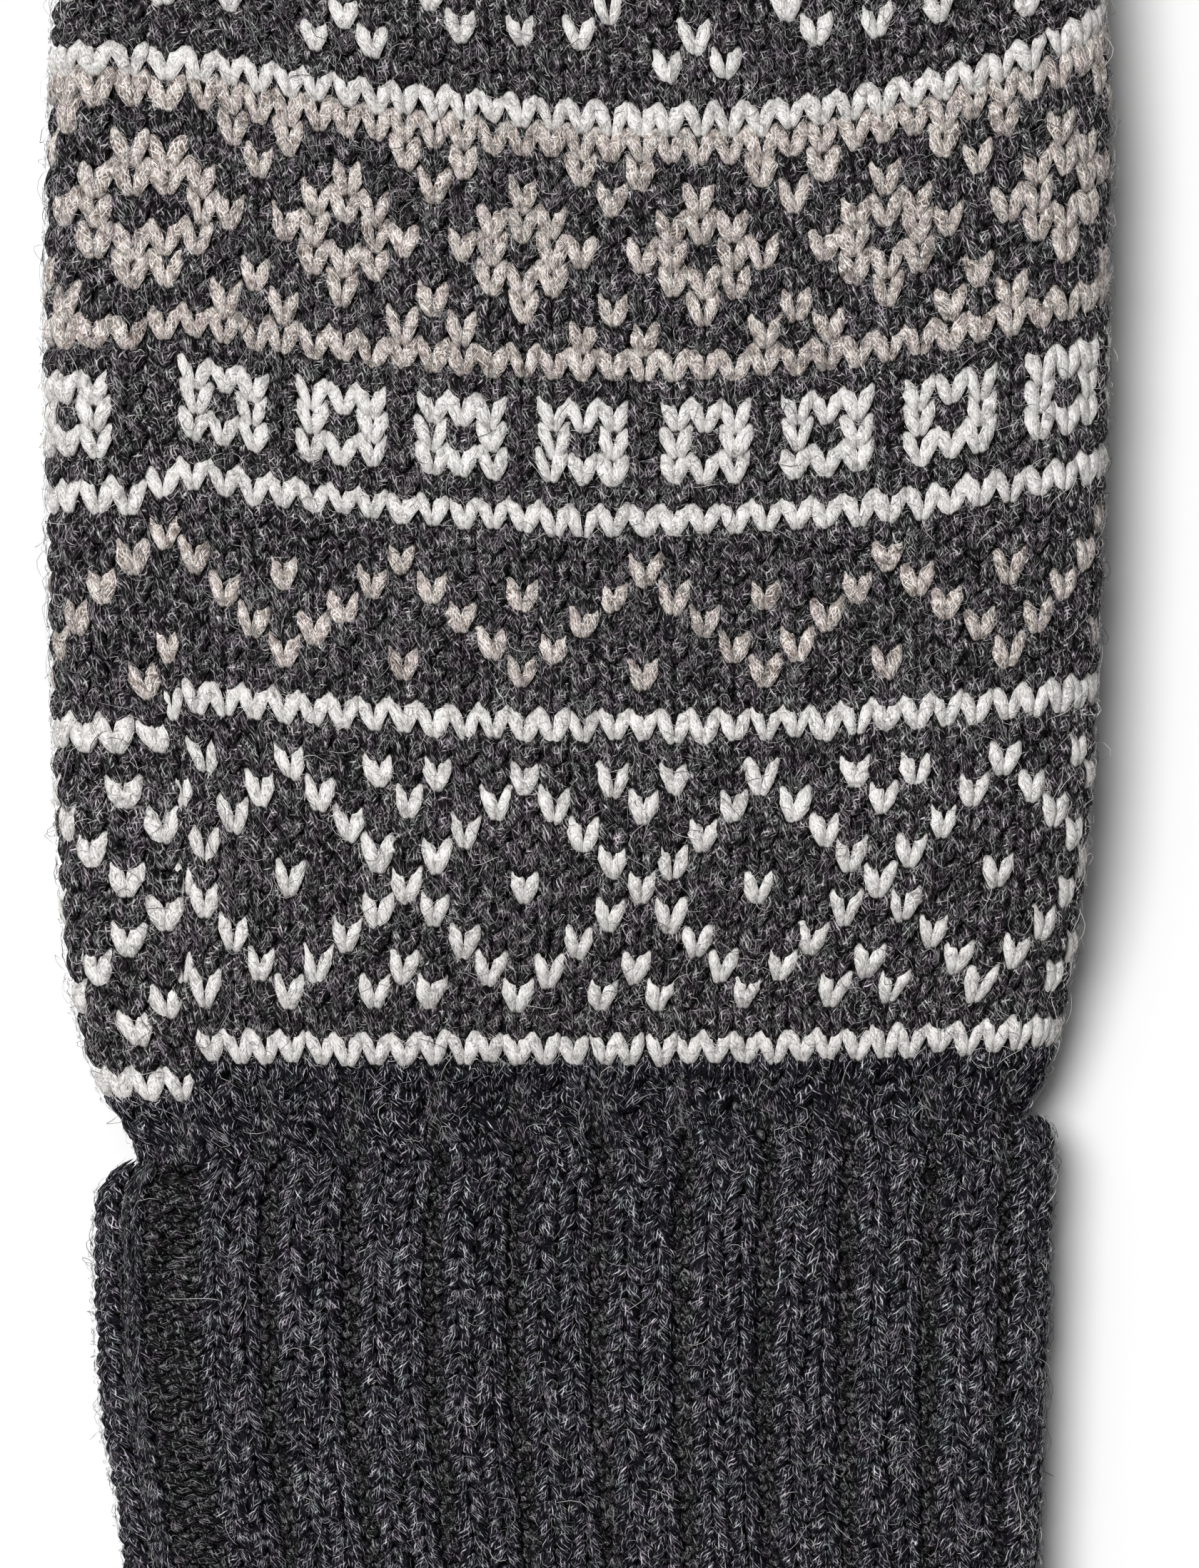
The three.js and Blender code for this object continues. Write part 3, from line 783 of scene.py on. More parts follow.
def hand_stitches(name, chosen, way, sides, painted_shade):
    """The chosen stitches of the hand as one piece of threads."""
    column, row, side = both_legs(grid_c[chosen].astype(float), grid_r[chosen].astype(float))
    paths, across, thick = knit_legs(column, row, side, way, stitch_rng)
    return make_threads(name, hand_point, paths, across, thick, sides, stitch_rng, HAND_PITCH, painted_shade=painted_shade)


for yarn, material in YARNS.items():
    back_sides = 6 if yarn in ("white", "beige") else 5
    layers = (("back", ~palm_side, FINE_LEG, back_sides), ("palm", palm_side, PLAIN_LEG, 4))
    for part, here, way, sides in layers:
        chosen = (grid_yarn == yarn) & here
        piece = hand_stitches(f"hand_{part}_{yarn}", chosen, way, sides, PAINTED_SHADES[yarn])
        piece.data.materials.append(material)
        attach(piece, "root")


# Seam stitches
# Between the last stitch of a round and the first of the next stands one column that fills the
# gap they leave, a little sunk. It carries on the pattern to the left of the first stitch, but for
# the lowest line, which is broken there.

SEAM_OUT = -0.25
SEAM_WIDTH = 0.75  # in columns, where the gap is at its narrowest
SEAM_DROP = 0.15
SEAM_GIRTH = 0.9


def seam_point(c, r, out):
    """A point of the seam's column: c is in columns from its middle, half way between the last
    stitch and the first one. Its rows are the first stitch's, lowered by a share of the drop."""
    first = row_y(np.zeros_like(r), r)
    y = first + SEAM_DROP * (row_y(np.full_like(r, COLUMNS - 0.5), r) - first)
    to_first = stray_at(np.zeros_like(y), y)
    gap = to_first - stray_at(np.full_like(y, COLUMNS - 1), y) + FIRST_STITCH + LAST_STITCH
    width = np.maximum(gap - BACK_PITCH, SEAM_WIDTH * BACK_PITCH)
    return tube_point(hand_arc(np.zeros_like(r), y, c * width - gap / 2)[0], y, out + SEAM_OUT)


seam_rows = np.arange(float(FIRST_ROW), LAST_ROW)
first_stitches = np.zeros_like(seam_rows)
seam_rows = seam_rows[off_the_band(first_stitches, row_y(first_stitches, seam_rows))]
seam_yarn = yarn_of(np.full(len(seam_rows), -1), seam_rows.astype(int))
seam_yarn[seam_rows == 0] = "charcoal"
for yarn, material in YARNS.items():
    chosen = seam_yarn == yarn
    column, row, side = both_legs(np.zeros(chosen.sum()), seam_rows[chosen])
    paths, across, thick = knit_legs(column, row, side, FINE_LEG, stitch_rng, girth=SEAM_GIRTH)
    piece = make_threads(f"seam_{yarn}", seam_point, paths, across, thick, 6, stitch_rng, HAND_PITCH)
    piece.data.materials.append(material)
    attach(piece, "root")


# Fingertip band
# The tip is narrowed on both sides of a band of two stitches, which follows its outline up from
# each side. The two ends meet at the top, where the last stitches are grafted.

BAND_ROUND = 7.0  # the radius of the fold under the band
BAND_PITCH = 3.3
BAND_SAMPLES = 200  # of the outline's turn, for its length
TIP_LENGTH = TIP_Y - TIP_START_Y
start_angle = math.asin((BAND_START_Y - TIP_START_Y) / TIP_LENGTH)
angles = np.linspace(start_angle, math.pi / 2, BAND_SAMPLES)
half_width = (OUTLINE[-1]["left"] + OUTLINE[-1]["right"]) / 2
band_steps = np.hypot(half_width * np.diff(np.cos(angles)), TIP_LENGTH * np.diff(np.sin(angles)))
band_length = np.append(0.0, np.cumsum(band_steps))
BAND_ROWS = round(float(band_length[-1]) / ROW_PITCH)


def band_point(c, r, out):
    """A point of the band: along half an ellipse by its length, from the left side over the top
    to the right side, out along its normal and up by columns, round the fold."""
    along = r * band_length[-1] / BAND_ROWS
    back = along > band_length[-1]
    angle = np.interp(np.where(back, 2.0 * band_length[-1] - along, along), band_length, angles)
    angle = np.where(back, math.pi - angle, angle)
    half = np.where(back, OUTLINE[-1]["right"], OUTLINE[-1]["left"])
    x = -half * np.cos(angle)
    y = TIP_START_Y + TIP_LENGTH * np.sin(angle)
    _, _, thick, _ = section_at(y)
    middle = thick / 2 + TIP_RISE * (HAND_THICKNESS - thick) + tube_height(x, y)
    normal = np.stack([-np.cos(angle) / half, np.sin(angle) / TIP_LENGTH], -1)
    normal = normal / np.linalg.norm(normal, axis=-1, keepdims=True)
    up = c * BAND_PITCH
    reach = out - up * up / (2.0 * BAND_ROUND)
    return np.stack([x + normal[..., 0] * reach, y + normal[..., 1] * reach, middle + up], -1)


band_c, band_r = np.meshgrid([-0.5, 0.5], np.arange(0.5, BAND_ROWS), indexing="ij")
band_c, band_r = band_c.ravel(), band_r.ravel()
LINE_ON_TIP = 49  # the row of the white line that the band crosses
for part, first, fold_column in (("left", True, 0.0), ("right", False, BACK_COLUMNS)):
    middle = band_point(band_c, band_r if first else 2.0 * BAND_ROWS - band_r, 0.0)
    line_y = row_y(np.array([fold_column]), np.array([float(LINE_ON_TIP)]))
    white = np.abs(middle[:, 1] - line_y) < ROW_PITCH / 2
    for yarn, chosen in (("charcoal", ~white), ("white", white)):
        column, row, side = both_legs(band_c[chosen], band_r[chosen])
        paths, across, thick = knit_legs(column, row, side, FINE_LEG, stitch_rng)
        if not first:
            paths[..., 1] = 2.0 * BAND_ROWS - paths[..., 1]
        name = f"tip_band_{part}_{yarn}"
        piece = make_threads(name, band_point, paths, across, thick, 6, stitch_rng, HAND_PITCH)
        piece.data.materials.append(YARNS[yarn])
        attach(piece, "root")


# Thumb
# Plain knitting in the charcoal yarn, picked up round the palm's opening, bent flat at the
# crotch and lying under the palm. It is closed at its tip and hollow like the hand.

THUMB_COLUMNS = 26
THUMB_PITCH = np.array([3.1, ROW_PITCH])
THUMB_BEND_ROWS = 8
CROTCH_RADIUS = 0.8
THUMB_BASE_LENGTH = 25.0
BEND_BLEND = 4.0  # the power that rounds the bend off where it meets the palm
LEAST_SINE = 1e-3  # so that the start of the bend divides by no zero
BEND = np.array([18.0, 5.8, 10.2])  # the middle of the crotch, about which the thumb is bent
THUMB_LENGTH = 51.0
THUMB_OUTLINE = [
    {"y": 0.0, "half": 18.0, "thick": 9.4},
    {"y": 28.0, "half": 17.6, "thick": 9.4},
    {"y": 40.0, "half": 15.4, "thick": 9.2},
    {"y": 47.0, "half": 11.4, "thick": 8.4},
    {"y": 51.0, "half": 6.2, "thick": 6.4},
]


def thumb_section(r):
    """Turn, way along, half width, thickness and depth under the bend at row r. Over the bend
    the section turns from lying in the palm to standing across the thumb."""
    turn = np.clip(r / THUMB_BEND_ROWS, 0.0, 1.0) * math.pi / 2
    along = np.clip((r - THUMB_BEND_ROWS) * ROW_PITCH, 0.0, THUMB_LENGTH)
    straight = table_at(THUMB_OUTLINE, "y", "thick", along)
    to_surface = BEND[2] / np.maximum(np.sin(turn), LEAST_SINE) - CROTCH_RADIUS
    bent = (THUMB_BASE_LENGTH**-BEND_BLEND + to_surface**-BEND_BLEND) ** (-1.0 / BEND_BLEND)
    bending = r < THUMB_BEND_ROWS
    thick = np.where(bending, bent, straight)
    drop = (THUMB_OUTLINE[0]["thick"] - thick) * (1.0 - TIP_RISE)
    depth = CROTCH_RADIUS + np.where(bending, 0.0, drop)
    return turn, along, table_at(THUMB_OUTLINE, "y", "half", along), thick, depth


def thumb_point(c, r, out):
    """A point of the thumb: a flat oval, stood at its turn round the crotch and set along."""
    turn, along, half, thick, depth = thumb_section(r)
    share = c / THUMB_COLUMNS
    x, h, _ = oval_point(share * oval_length(half, half, thick), half, half, thick, out)
    h = np.where((share % 1.0 > 0.0) & (h < 0.0), -out, h)
    reach = depth + thick - h
    return np.stack([x, along - reach * np.cos(turn), -reach * np.sin(turn)], -1) + BEND


thumb_rows = THUMB_BEND_ROWS + int(THUMB_LENGTH / ROW_PITCH)
thumb_c, thumb_r = np.meshgrid(np.arange(THUMB_COLUMNS), np.arange(0.5, thumb_rows), indexing="ij")
column, row, side = both_legs(thumb_c.ravel().astype(float), thumb_r.ravel())
paths, across, thick = knit_legs(column, row, side, PLAIN_LEG, stitch_rng)
thumb_stitches = make_threads(
    "thumb_stitches", thumb_point, paths, across, thick, 4, stitch_rng, THUMB_PITCH
)
thumb_stitches.data.materials.append(charcoal_melange)
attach(thumb_stitches, "root")


THUMB_AROUND = 48
THUMB_RINGS = 40
THUMB_SHELL_IN = -2.4
THUMB_INSET = 0.8  # in rows, from the outer face's end to the inner one's


def thumb_rings(out, end_row):
    """Rings of the thumb's wall from the palm to end_row."""
    share = np.arange(THUMB_AROUND) / THUMB_AROUND
    r, share = np.meshgrid(np.linspace(0.0, end_row, THUMB_RINGS), share, indexing="ij")
    return thumb_point(share * THUMB_COLUMNS, r, out)


last_thumb_row = THUMB_BEND_ROWS + THUMB_LENGTH / ROW_PITCH
thumb_outer = thumb_rings(SHELL_OUT, last_thumb_row)
thumb_inner = thumb_rings(THUMB_SHELL_IN, last_thumb_row - THUMB_INSET)
thumb_shell = shell("thumb_shell", thumb_outer, thumb_inner)
thumb_shell.data.materials.append(shaded_loop_backs)
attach(thumb_shell, "root")
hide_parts("thumb")


# Ribbed cuff
# Two-by-two rib in a finer gauge: pairs of raised knit columns between purl furrows. It is
# turned up, so its outer layer is upside down, and its Vs point up. One seam-side furrow gapes.

CUFF_TOP_Y = -53.3
CUFF_SLANT = 2.2
CUFF_BOW = 1.2
CORNER_DIP = 0.5
CORNER_X = (0.90, 1.02)  # as shares of the cuff's half width
CUFF_HALF_WIDTH = 46.9
FOLD_Y = -114.4
FOLD_RADIUS = 2.95
FOLD_OUT = 0.35
FOLD_CENTRE_Y = FOLD_Y + FOLD_RADIUS
SLANT_START_Y = FOLD_Y + 5.0  # from here up the layer takes on the slant of its top edge
INSIDE_LENGTH = 6.0  # of ribbing inside the fold, as far as it shows
RIB_ROW = 1.62
RIBS = 26
RIB_REFERENCE_Y = -80.0
FURROW_HALF = 0.8
GAPING_FURROW = 20  # the sixth furrow to the left of the one counted from
GAPING_HALF = 3.1
GAPING_SHIFT = -1.8
OUTER_LENGTH = CUFF_TOP_Y - FOLD_CENTRE_Y
FOLD_LENGTH = math.pi * FOLD_RADIUS


def edge_rise(x):
    """Rise of the cuff's top edge at x: a slant, a bow and a dip at the outer corner."""
    x = x / CUFF_HALF_WIDTH
    return CUFF_SLANT * x - CUFF_BOW * x * x - CORNER_DIP * ease(-x, *CORNER_X)


def cuff_point(share, down, out):
    """A point of the turned-up layer and its fold. down is mm from the top edge, along the
    outer layer, round the half circle of the fold and up inside the wrist."""
    turn = np.clip((down - OUTER_LENGTH) / FOLD_RADIUS, 0.0, math.pi)
    inside = np.maximum(down - OUTER_LENGTH - FOLD_LENGTH, 0.0)
    outside = np.minimum(down, OUTER_LENGTH)
    y = CUFF_TOP_Y - outside - (FOLD_RADIUS + out) * np.sin(turn) + inside
    layer = FOLD_OUT + (FOLD_RADIUS + out) * np.cos(turn)
    left, right, thick, _ = section_at(y)
    arc = share * oval_length(left, right, thick, TURN_UP)
    raised = np.where(turn < math.pi / 2, ease(y, SLANT_START_Y, CUFF_TOP_Y), 0.0)
    y = y + raised * edge_rise(tube_point(arc, y, layer, TURN_UP)[..., 0])
    left, right, thick, _ = section_at(y)
    return tube_point(share * oval_length(left, right, thick, TURN_UP), y, layer, TURN_UP)


left, right, thick, _ = section_at(np.array(RIB_REFERENCE_Y))
cuff_round = float(oval_length(left, right, thick, TURN_UP))
furrow_start = float(FURROW_X + left - thick / 2) / cuff_round
furrow_share = furrow_start + np.arange(RIBS) / RIBS
furrow_half = np.full(RIBS, FURROW_HALF / cuff_round)
furrow_share[GAPING_FURROW] += GAPING_SHIFT / cuff_round
furrow_half[GAPING_FURROW] = GAPING_HALF / cuff_round

# Columns of the ribbing count a rib as 1 and the furrow after it as a half. The table holds
# the share of the round at each edge of them, with a spare repeat at either end.
REPEAT = 1.5
next_share = np.append(furrow_share[1:], furrow_share[0] + 1.0)
next_half = np.append(furrow_half[1:], furrow_half[0])
edge_share = np.stack([furrow_share + furrow_half, next_share - next_half], -1)
edge_share = np.concatenate([edge_share - 1.0, edge_share, edge_share + 1.0]).ravel()
edge_column = (np.arange(-RIBS, 2 * RIBS)[:, None] * REPEAT + np.array([0.0, 1.0])).ravel()
RIB_ROWS = int((OUTER_LENGTH + FOLD_LENGTH + INSIDE_LENGTH) / RIB_ROW)
RIB_ROLL = 0.65
EDGE_ROLL = 1.1
EDGE_ROWS = 1.6
MOST_ROLL = 1.5  # the edge rolls no further above its first row
rib_rng = np.random.default_rng(88)


def rolled_edge(r):
    """How far the layer sinks at its top edge, where the last rows curl over: a square law."""
    return EDGE_ROLL * np.clip(1.0 - r / EDGE_ROWS, 0.0, MOST_ROLL) ** 2


def rib_point(c, r, out):
    """A point of the ribbing. A rib is domed: its edges roll down to the furrows' floor by the
    fourth power of the way out."""
    within = np.mod(c, REPEAT)
    roll = RIB_ROLL * np.minimum(np.abs(2.0 * within - 1.0), 1.0) ** 4 + rolled_edge(r)
    return cuff_point(np.interp(c, edge_column, edge_share), r * RIB_ROW, out - roll)


BACK_END = 0.50  # of the round, from the left fold: where the thumb side's fold is over
LEFT_FOLD = 0.92


def on_back_of_cuff(share):
    """Whether a share of the round is on the back or on a side fold, where it shows."""
    return (np.mod(share, 1.0) < BACK_END) | (np.mod(share, 1.0) > LEFT_FOLD)


RIB_KNITS = np.array([0.25, 0.75])  # the middles of a rib's two knit columns
KNIT_WIDTH = 0.5
FIRST_KNIT_ROW = 0.4
OUT_OF_STEP = 0.3  # at most, in rows, by which the columns are shifted against each other
RIB_PITCH = np.array([5.7, RIB_ROW])
rib_columns = (np.arange(RIBS)[:, None] * REPEAT + RIB_KNITS).ravel()
knit_columns, knit_rows = np.meshgrid(rib_columns, np.arange(FIRST_KNIT_ROW, RIB_ROWS), indexing="ij")
knit_rows = knit_rows + rib_rng.uniform(-OUT_OF_STEP, OUT_OF_STEP, (len(rib_columns), 1))
column, row, side = both_legs(knit_columns.ravel(), knit_rows.ravel())
rib_on_back = on_back_of_cuff(np.interp(column, edge_column, edge_share))
layers = (("back", rib_on_back, FINE_LEG, 5), ("palm", ~rib_on_back, PLAIN_LEG, 3))
for part, here, way, sides in layers:
    legs = (column[here], row[here], side[here])
    paths, across, thick = knit_legs(*legs, way, rib_rng, foot=-0.68, top=0.92, girth=0.88)
    middle = column[here][:, None]
    paths[..., 0] = middle + (paths[..., 0] - middle) * KNIT_WIDTH
    name = f"cuff_{part}_knit_ribs"
    piece = make_threads(name, rib_point, paths, across, thick, sides, rib_rng, RIB_PITCH)
    piece.data.materials.append(rib_melange)
    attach(piece, "root")

# Purl bars: the heads of the purl loops, short arches lying across the furrows, half a stitch
# up from one to the next.
PURL_OUT = -1.05
PURL_WAY = np.array([-1.0, -0.7, 0.0, 0.7, 1.0])
PURL_REACH = 1.2  # how far a bar reaches, of its share of the furrow's half width
PURL_ARCH = 0.30  # how far its ends bend along the furrow, in rows, and down, in mm
PURL_HALF = np.array([0.46, 0.56, 0.46])
PURL_FLATTENING = 0.9
PURL_VARIES = {"column": 0.02, "row": 0.08, "out": 0.10}
FURROW_PITCH = np.array([4.8, RIB_ROW])
bars = []
for furrow in range(RIBS):
    abreast = 4 if furrow == GAPING_FURROW else 2
    for bar in range(abreast):
        place = (furrow, (bar + 0.5) / abreast, 0.5 / abreast)
        bars += [(*place, r + 0.5 * (bar % 2)) for r in range(RIB_ROWS - 1)]

bars = np.array(bars)
bars = bars[on_back_of_cuff(furrow_share[bars[:, 0].astype(int)])]
furrow, middle, half, row_of_bar = (bars[:, [at]] for at in range(4))
t = PURL_WAY[None, :]
wobble = rib_rng.normal(0.0, 1.0, (3, len(bars), 1))
bar_c = middle + half * PURL_REACH * t + PURL_VARIES["column"] * wobble[0]
bar_c = furrow * REPEAT - 0.5 + 0.5 * bar_c
bends = PURL_ARCH * t**2 * np.where(middle * 4 % 2 < 1, 1.0, -1.0)
bar_r = row_of_bar + FIRST_KNIT_ROW + bends + PURL_VARIES["row"] * wobble[1]
bar_out = PURL_OUT - PURL_ARCH * t**2 + PURL_VARIES["out"] * wobble[2]
bar_paths = np.stack([bar_c, bar_r, bar_out], -1)
bar_across = np.tile(PURL_HALF, (len(bars), 1))
bar_thick = PURL_FLATTENING * bar_across
purl_bars = make_threads(
    "cuff_purl_bars", rib_point, bar_paths, bar_across, bar_thick, 4, rib_rng, FURROW_PITCH
)
# The bars take the loop backs' colour, darkened as painted shade of the furrows they lie in.
purl_bars.data.materials.append(shaded_loop_backs)
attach(purl_bars, "root")

# Cuff shell: the wrist's wall and the turned-up layer behind the stitches, one wall folded in
# a U, with the narrow slit between its layers open at the top.
CUFF_PROFILE = [
    {"y": -58.8, "out": -2.4}, {"y": -80.0, "out": -2.4}, {"y": -104.0, "out": -2.3},
    {"y": -110.2, "out": -1.3}, {"y": -112.0, "out": 0.3}, {"y": -110.8, "out": 1.3},
    {"y": -104.0, "out": 1.4}, {"y": -80.0, "out": 1.4}, {"y": -56.0, "out": 1.4},
    {"y": -55.0, "out": 1.2}, {"y": -54.8, "out": 0.8}, {"y": -55.2, "out": 0.5},
    {"y": -80.0, "out": 0.5}, {"y": -106.0, "out": 0.25}, {"y": -80.0, "out": 0.0}, {"y": -58.8, "out": 0.0},
]

RINGS_BETWEEN = 3
OUTER_FROM = 0.2  # from this far out the wall is the turned-up layer


def cuff_wall(profile, between):
    """Rings of the cuff's wall, several between each two rows of its profile."""
    rows = np.arange(len(profile) * between) / between
    closed = profile + profile[:1]
    y = np.interp(rows, np.arange(len(closed)), [row["y"] for row in closed])
    out = np.interp(rows, np.arange(len(closed)), [row["out"] for row in closed])
    y, share = np.meshgrid(y, np.arange(SHELL_AROUND) / SHELL_AROUND, indexing="ij")
    out = np.repeat(out[:, None], SHELL_AROUND, 1)
    left, right, thick, _ = section_at(y)
    points = tube_point(share * oval_length(left, right, thick), y, out)
    raised = np.where(out > OUTER_FROM, ease(y, SLANT_START_Y, CUFF_TOP_Y), 0.0)
    y = y + raised * edge_rise(points[..., 0])
    left, right, thick, _ = section_at(y)
    return tube_point(share * oval_length(left, right, thick), y, out)


cuff_rings = cuff_wall(CUFF_PROFILE, RINGS_BETWEEN)
cuff_quads = loft(np.concatenate([cuff_rings, cuff_rings[:1]]))
cuff_quads = cuff_quads % (len(cuff_rings) * SHELL_AROUND)
cuff_points = cuff_rings.reshape(-1, 3)
cuff_uv = cuff_points[cuff_quads.ravel()][:, [1, 0]]
cuff_shell = make_piece("cuff_shell", cuff_points, cuff_quads, cuff_uv)
cuff_shell.data.materials.append(shaded_loop_backs)
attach(cuff_shell, "root")
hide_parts("rib_cuff")


# Fuzz
# Stray fibres stand out of every woollen thread: fine curling hairs, pale and dark, thickest
# over the melange and as a soft halo round the outline.

# Single wool fibres: each one even in tone, from black to off-white, and a little glossier than
# the yarn, so that they catch the light as fine curling lines.
fibre_stops = [(0.0, "#161518"), (0.4, "#4a494d"), (0.75, "#a3a2a6"), (1.0, "#e9e7e3")]


def fibre_wool(name, stops):
    """Single wool fibres: each has one tone, from the attribute that its mesh carries."""
    material, tree = empty_material(name)
    tone = add_node(tree, "ShaderNodeAttribute", attribute_name="shade").outputs["Fac"]
    add_surface(tree, {"Base Color": ramp(tree, tone, stops), "Roughness": 0.7, "Specular IOR Level": 0.3})
    return material


stray_fibres = fibre_wool("stray_wool_fibres", fibre_stops)
FIBRE_OUT = -0.04
FIBRE_GIRTH = 0.033
FIBRE_STRAY = 0.75  # how far a fibre strays from the leg's direction, in radians

# A leg as the fibres find it, across in columns and up in rows: its foot, and its way from there.
LEG_ACROSS = (0.10, 0.34)
LEG_UP = (-0.62, 1.36)
LEG_ANGLE = 0.45  # off the column, in radians
LEG_EDGE = 0.2  # in columns, from the middle of a leg
FIBRE_START = (0.1, 0.9)  # of the way up a leg
START_VARIES = 0.08  # in columns and rows
EDGE_START_VARIES = 0.04
LEAST_SPLAY = 0.1
HEADING_AT = 0.3  # of a fibre's way, where it has the direction that it turns away from
FIBRE_KINK = 0.05  # how much its points vary in height
GIRTH_VARIES = (0.73, 1.27)
END_GIRTH = 0.8
TABLE_CLEAR = 0.1  # a fibre that comes nearer to the table is left out


def make_fibres(
    name, place, stitch, across_leg, tone, pitch, rng, points, length, turning, lift,
    splay=None, girth=FIBRE_GIRTH, stray=FIBRE_STRAY,
):
    """One mesh of fibres. Each starts on a leg of a stitch, lies mostly along it, turns steadily
    in the fabric's plane and arches a little out of it and back. With a splay they start at the
    leg's edges instead and lead off by that angle at most. None dips into the table."""
    count = len(stitch)
    side = rng.choice([-1.0, 1.0], count)
    t = rng.uniform(*FIBRE_START, count)
    down = rng.random(count) < 0.5
    edge = rng.choice([-1.0, 1.0], count)
    aside = rng.normal(0.0, stray, count)
    if splay:
        aside = np.where(down, edge, -edge) * rng.uniform(LEAST_SPLAY, splay, count)
    offset = edge * LEG_EDGE if splay else 0.0
    start_c = side * (LEG_ACROSS[0] + LEG_ACROSS[1] * t) * across_leg + offset
    start = stitch + np.stack([start_c, LEG_UP[0] + LEG_UP[1] * t], -1)
    start += rng.normal(0.0, EDGE_START_VARIES if splay else START_VARIES, (count, 2))
    length = rng.uniform(*length, (count, 1))
    heading = math.pi / 2 - side * LEG_ANGLE + aside + np.where(down, math.pi, 0.0)
    way = np.linspace(0.0, 1.0, points)[None, :]
    turn = rng.normal(0.0, turning, (count, 2, 1))
    on = way - HEADING_AT
    angle = heading[:, None] + turn[:, 0] * on + turn[:, 1] * on**2
    step = np.stack([np.cos(angle), np.sin(angle)], -1) * (length / (points - 1))[..., None]
    along = np.cumsum(step, 1) - step[:, :1]
    arch = rng.gamma(2.0, lift / 2.0, (count, 1)) * np.sin(math.pi * way)
    out = FIBRE_OUT + arch + FIBRE_KINK * rng.normal(0.0, 1.0, (count, points))
    paths = np.concatenate([start[:, None] + along / pitch, out[..., None]], -1)
    girth = girth * rng.uniform(*GIRTH_VARIES, (count, 1)) * np.linspace(1.0, END_GIRTH, points - 2)
    lowest = place(paths[..., 0], paths[..., 1], paths[..., 2])[..., 2].min(1)
    above = lowest > TABLE_CLEAR
    paths, girth, tone = paths[above], girth[above], tone[above]
    piece = make_threads(name, place, paths, girth, girth, 3, rng, pitch, tone)
    piece.data.materials.append(stray_fibres)
    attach(piece, "root")
    return piece


def melange_tones(count):
    """Tones of the fibres of a melange, of which most are a middle grey."""
    return np.clip(fuzz_rng.normal(0.55, 0.27, count), 0.0, 0.98)


FEATHER = {
    "points": 3, "length": (0.35, 1.0), "turning": 1.0, "lift": 0.06, "splay": 0.9, "girth": 0.042,
}
SHORT = {"points": 3, "length": (0.4, 1.0), "turning": 1.6, "lift": 0.14}
FUZZ = {"points": 4, "length": (0.7, 1.7), "turning": 1.7, "lift": 0.18}
HAIR = {"points": 6, "length": (2.2, 4.6), "turning": 2.8, "lift": 0.45}
PALE = {"white": 0.9, "beige": 0.78, "charcoal": 0.0, "rib": 0.0}
fuzz_rng = np.random.default_rng(404)
dyed = (grid_yarn == "white") | (grid_yarn == "beige")
OWN_SHARE = 0.85  # of the fibres on a dyed stitch, those in its own colour
for name, here, count, kind in (
    ("hand_back_fuzz", ~palm_side, 9000, FUZZ),
    ("hand_back_short_fuzz", ~palm_side, 10000, SHORT),
    ("hand_back_hairs", ~palm_side, 2800, HAIR),
    ("hand_back_feathers", ~palm_side & dyed, 11000, FEATHER),
    ("hand_palm_fuzz", palm_side, 2600, FUZZ),
):
    pick = fuzz_rng.choice(np.flatnonzero(here), count)
    stitch = np.stack([grid_c[pick], grid_r[pick]], -1).astype(float)
    pale = np.array([PALE[yarn] for yarn in grid_yarn[pick]])
    mixed = melange_tones(count)
    own = 1.0 if kind is FEATHER else OWN_SHARE
    tone = np.where((pale > 0.0) & (fuzz_rng.random(count) < own), pale, mixed)
    piece = make_fibres(name, hand_point, stitch, 1.0, tone, HAND_PITCH, fuzz_rng, **kind)

RIB_STRAY = 0.45
for name, count, kind in (
    ("cuff_fuzz", 4500, FUZZ),
    ("cuff_short_fuzz", 6000, SHORT),
    ("cuff_hairs", 1000, HAIR),
):
    pick = fuzz_rng.choice(np.flatnonzero(rib_on_back), count)
    stitch = np.stack([column[pick], row[pick]], -1)
    fibres = (stitch, KNIT_WIDTH, melange_tones(count), RIB_PITCH, fuzz_rng)
    piece = make_fibres(name, rib_point, *fibres, **kind, stray=RIB_STRAY)


# Surface, light and camera
# The mitten lies on a white table, in soft light from high up on its upper left, and the camera
# looks straight down on its back.

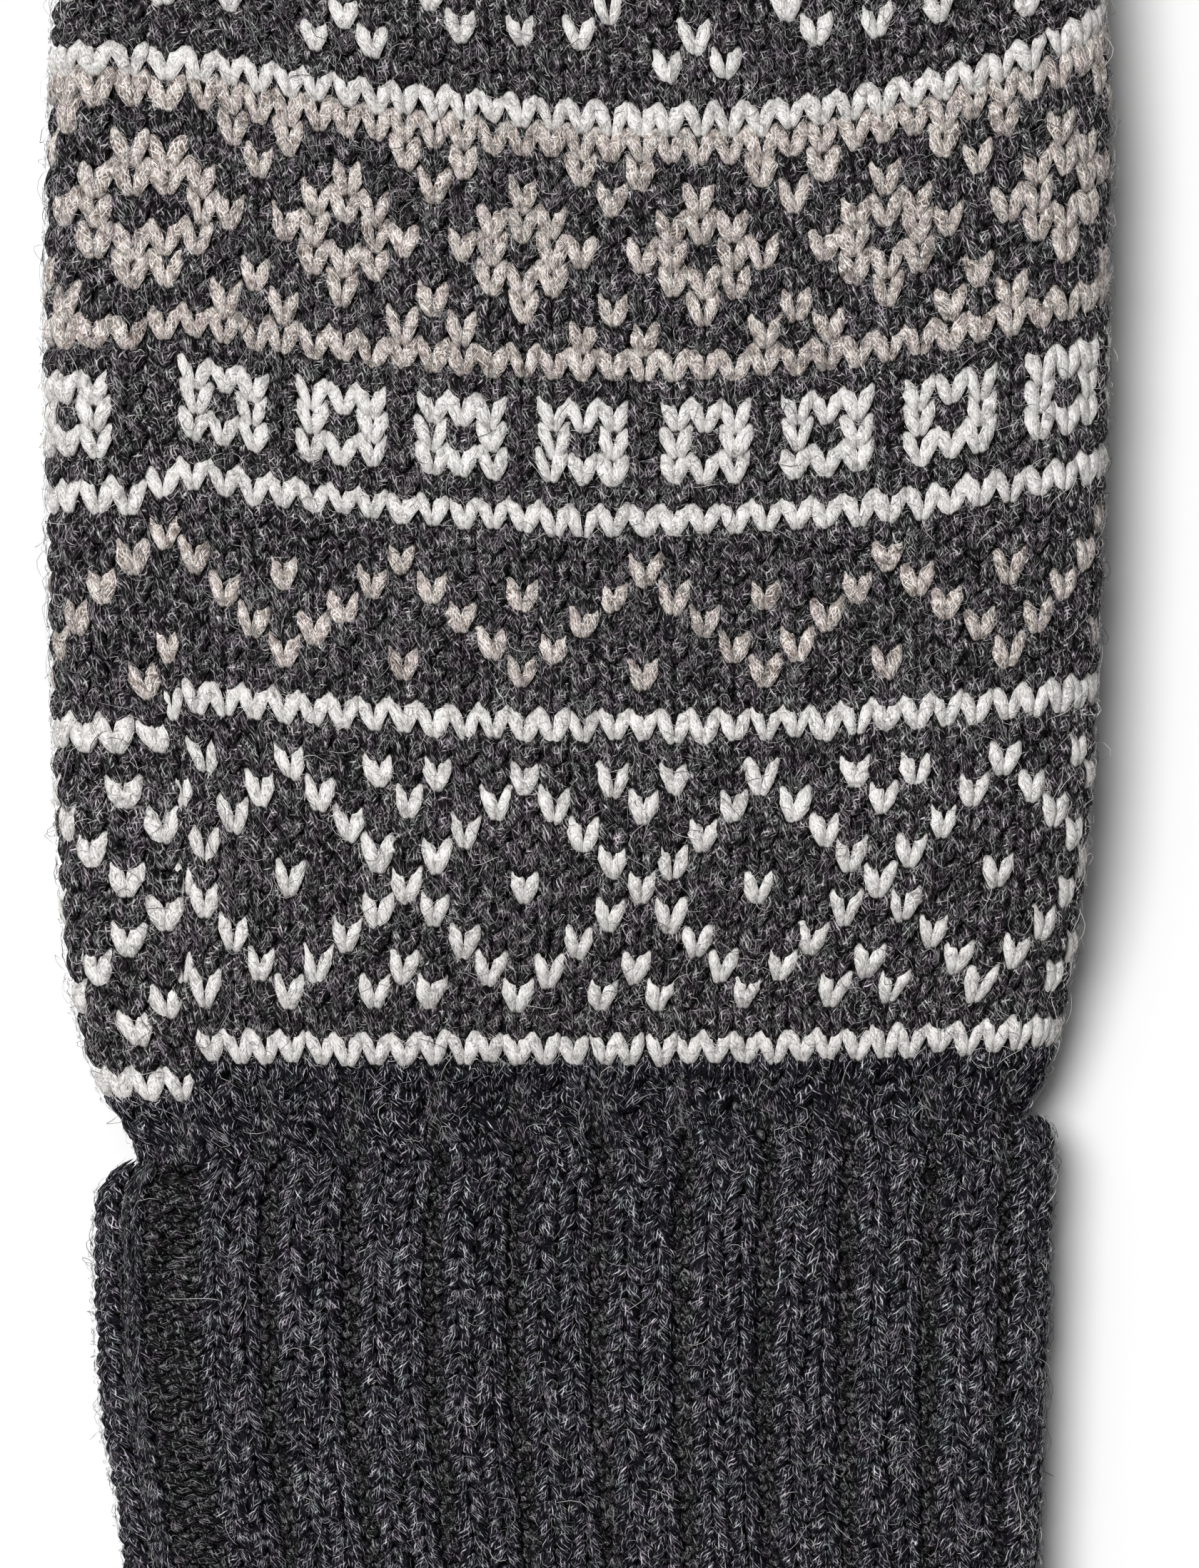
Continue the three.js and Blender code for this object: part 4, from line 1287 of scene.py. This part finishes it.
TABLE_HALF = 1.5
CORNERS = [(-1.0, -1.0), (1.0, -1.0), (1.0, 1.0), (-1.0, 1.0)]
table_mesh = bpy.data.meshes.new("white_table")
corners = [(x * TABLE_HALF, y * TABLE_HALF, 0.0) for x, y in CORNERS]
table_mesh.from_pydata(corners, [], [(0, 1, 2, 3)])
table = bpy.data.objects.new("white_table", table_mesh)
bpy.context.collection.objects.link(table)
# Matt white paint: even, with no gloss that would mirror the mitten.
paint = bpy.data.materials.new("white_table_paint")
paint.use_nodes = True
paint.node_tree.nodes["Principled BSDF"].inputs["Base Color"].default_value = linear("#efefef")
paint.node_tree.nodes["Principled BSDF"].inputs["Roughness"].default_value = 0.9
table_mesh.materials.append(paint)

world = bpy.data.worlds.new("white_room")
world.use_nodes = True
world.node_tree.nodes["Background"].inputs["Color"].default_value = linear("#ffffff")
world.node_tree.nodes["Background"].inputs["Strength"].default_value = 0.10
bpy.context.scene.world = world

LIGHT_AZIMUTH = math.radians(145)  # from +X towards +Y: the light comes from the upper left
SUNS = [
    {"name": "key_light", "strength": 2.9, "elevation": 70.5, "spread": 24},
    {"name": "fill_light", "strength": 0.75, "elevation": 66, "spread": 50},
]
for row in SUNS:
    sun = bpy.data.lights.new(row["name"], "SUN")
    sun.energy = row["strength"]
    sun.angle = math.radians(row["spread"])
    light = bpy.data.objects.new(row["name"], sun)
    bpy.context.collection.objects.link(light)
    light.rotation_euler = (0.0, math.pi / 2 - math.radians(row["elevation"]), LIGHT_AZIMUTH)

camera = bpy.data.cameras.new("camera")
camera_object = bpy.data.objects.new("camera", camera)
bpy.context.collection.objects.link(camera_object)
VIEW_MIDDLE = (2.5, -19.1)
VIEW_HEIGHT = 154.3  # what the picture shows of the table from top to bottom
CAMERA_DISTANCE = 700.0
OUTLINE_HEIGHT = 10.0  # above the table, where the mitten is widest
camera.sensor_width = 36.0
camera.lens = camera.sensor_width * CAMERA_DISTANCE / VIEW_HEIGHT
camera_height = CAMERA_DISTANCE + OUTLINE_HEIGHT
camera_object.location = (VIEW_MIDDLE[0] * MM, VIEW_MIDDLE[1] * MM, camera_height * MM)
bpy.context.scene.camera = camera_object
bpy.context.scene.view_settings.view_transform = "Standard"
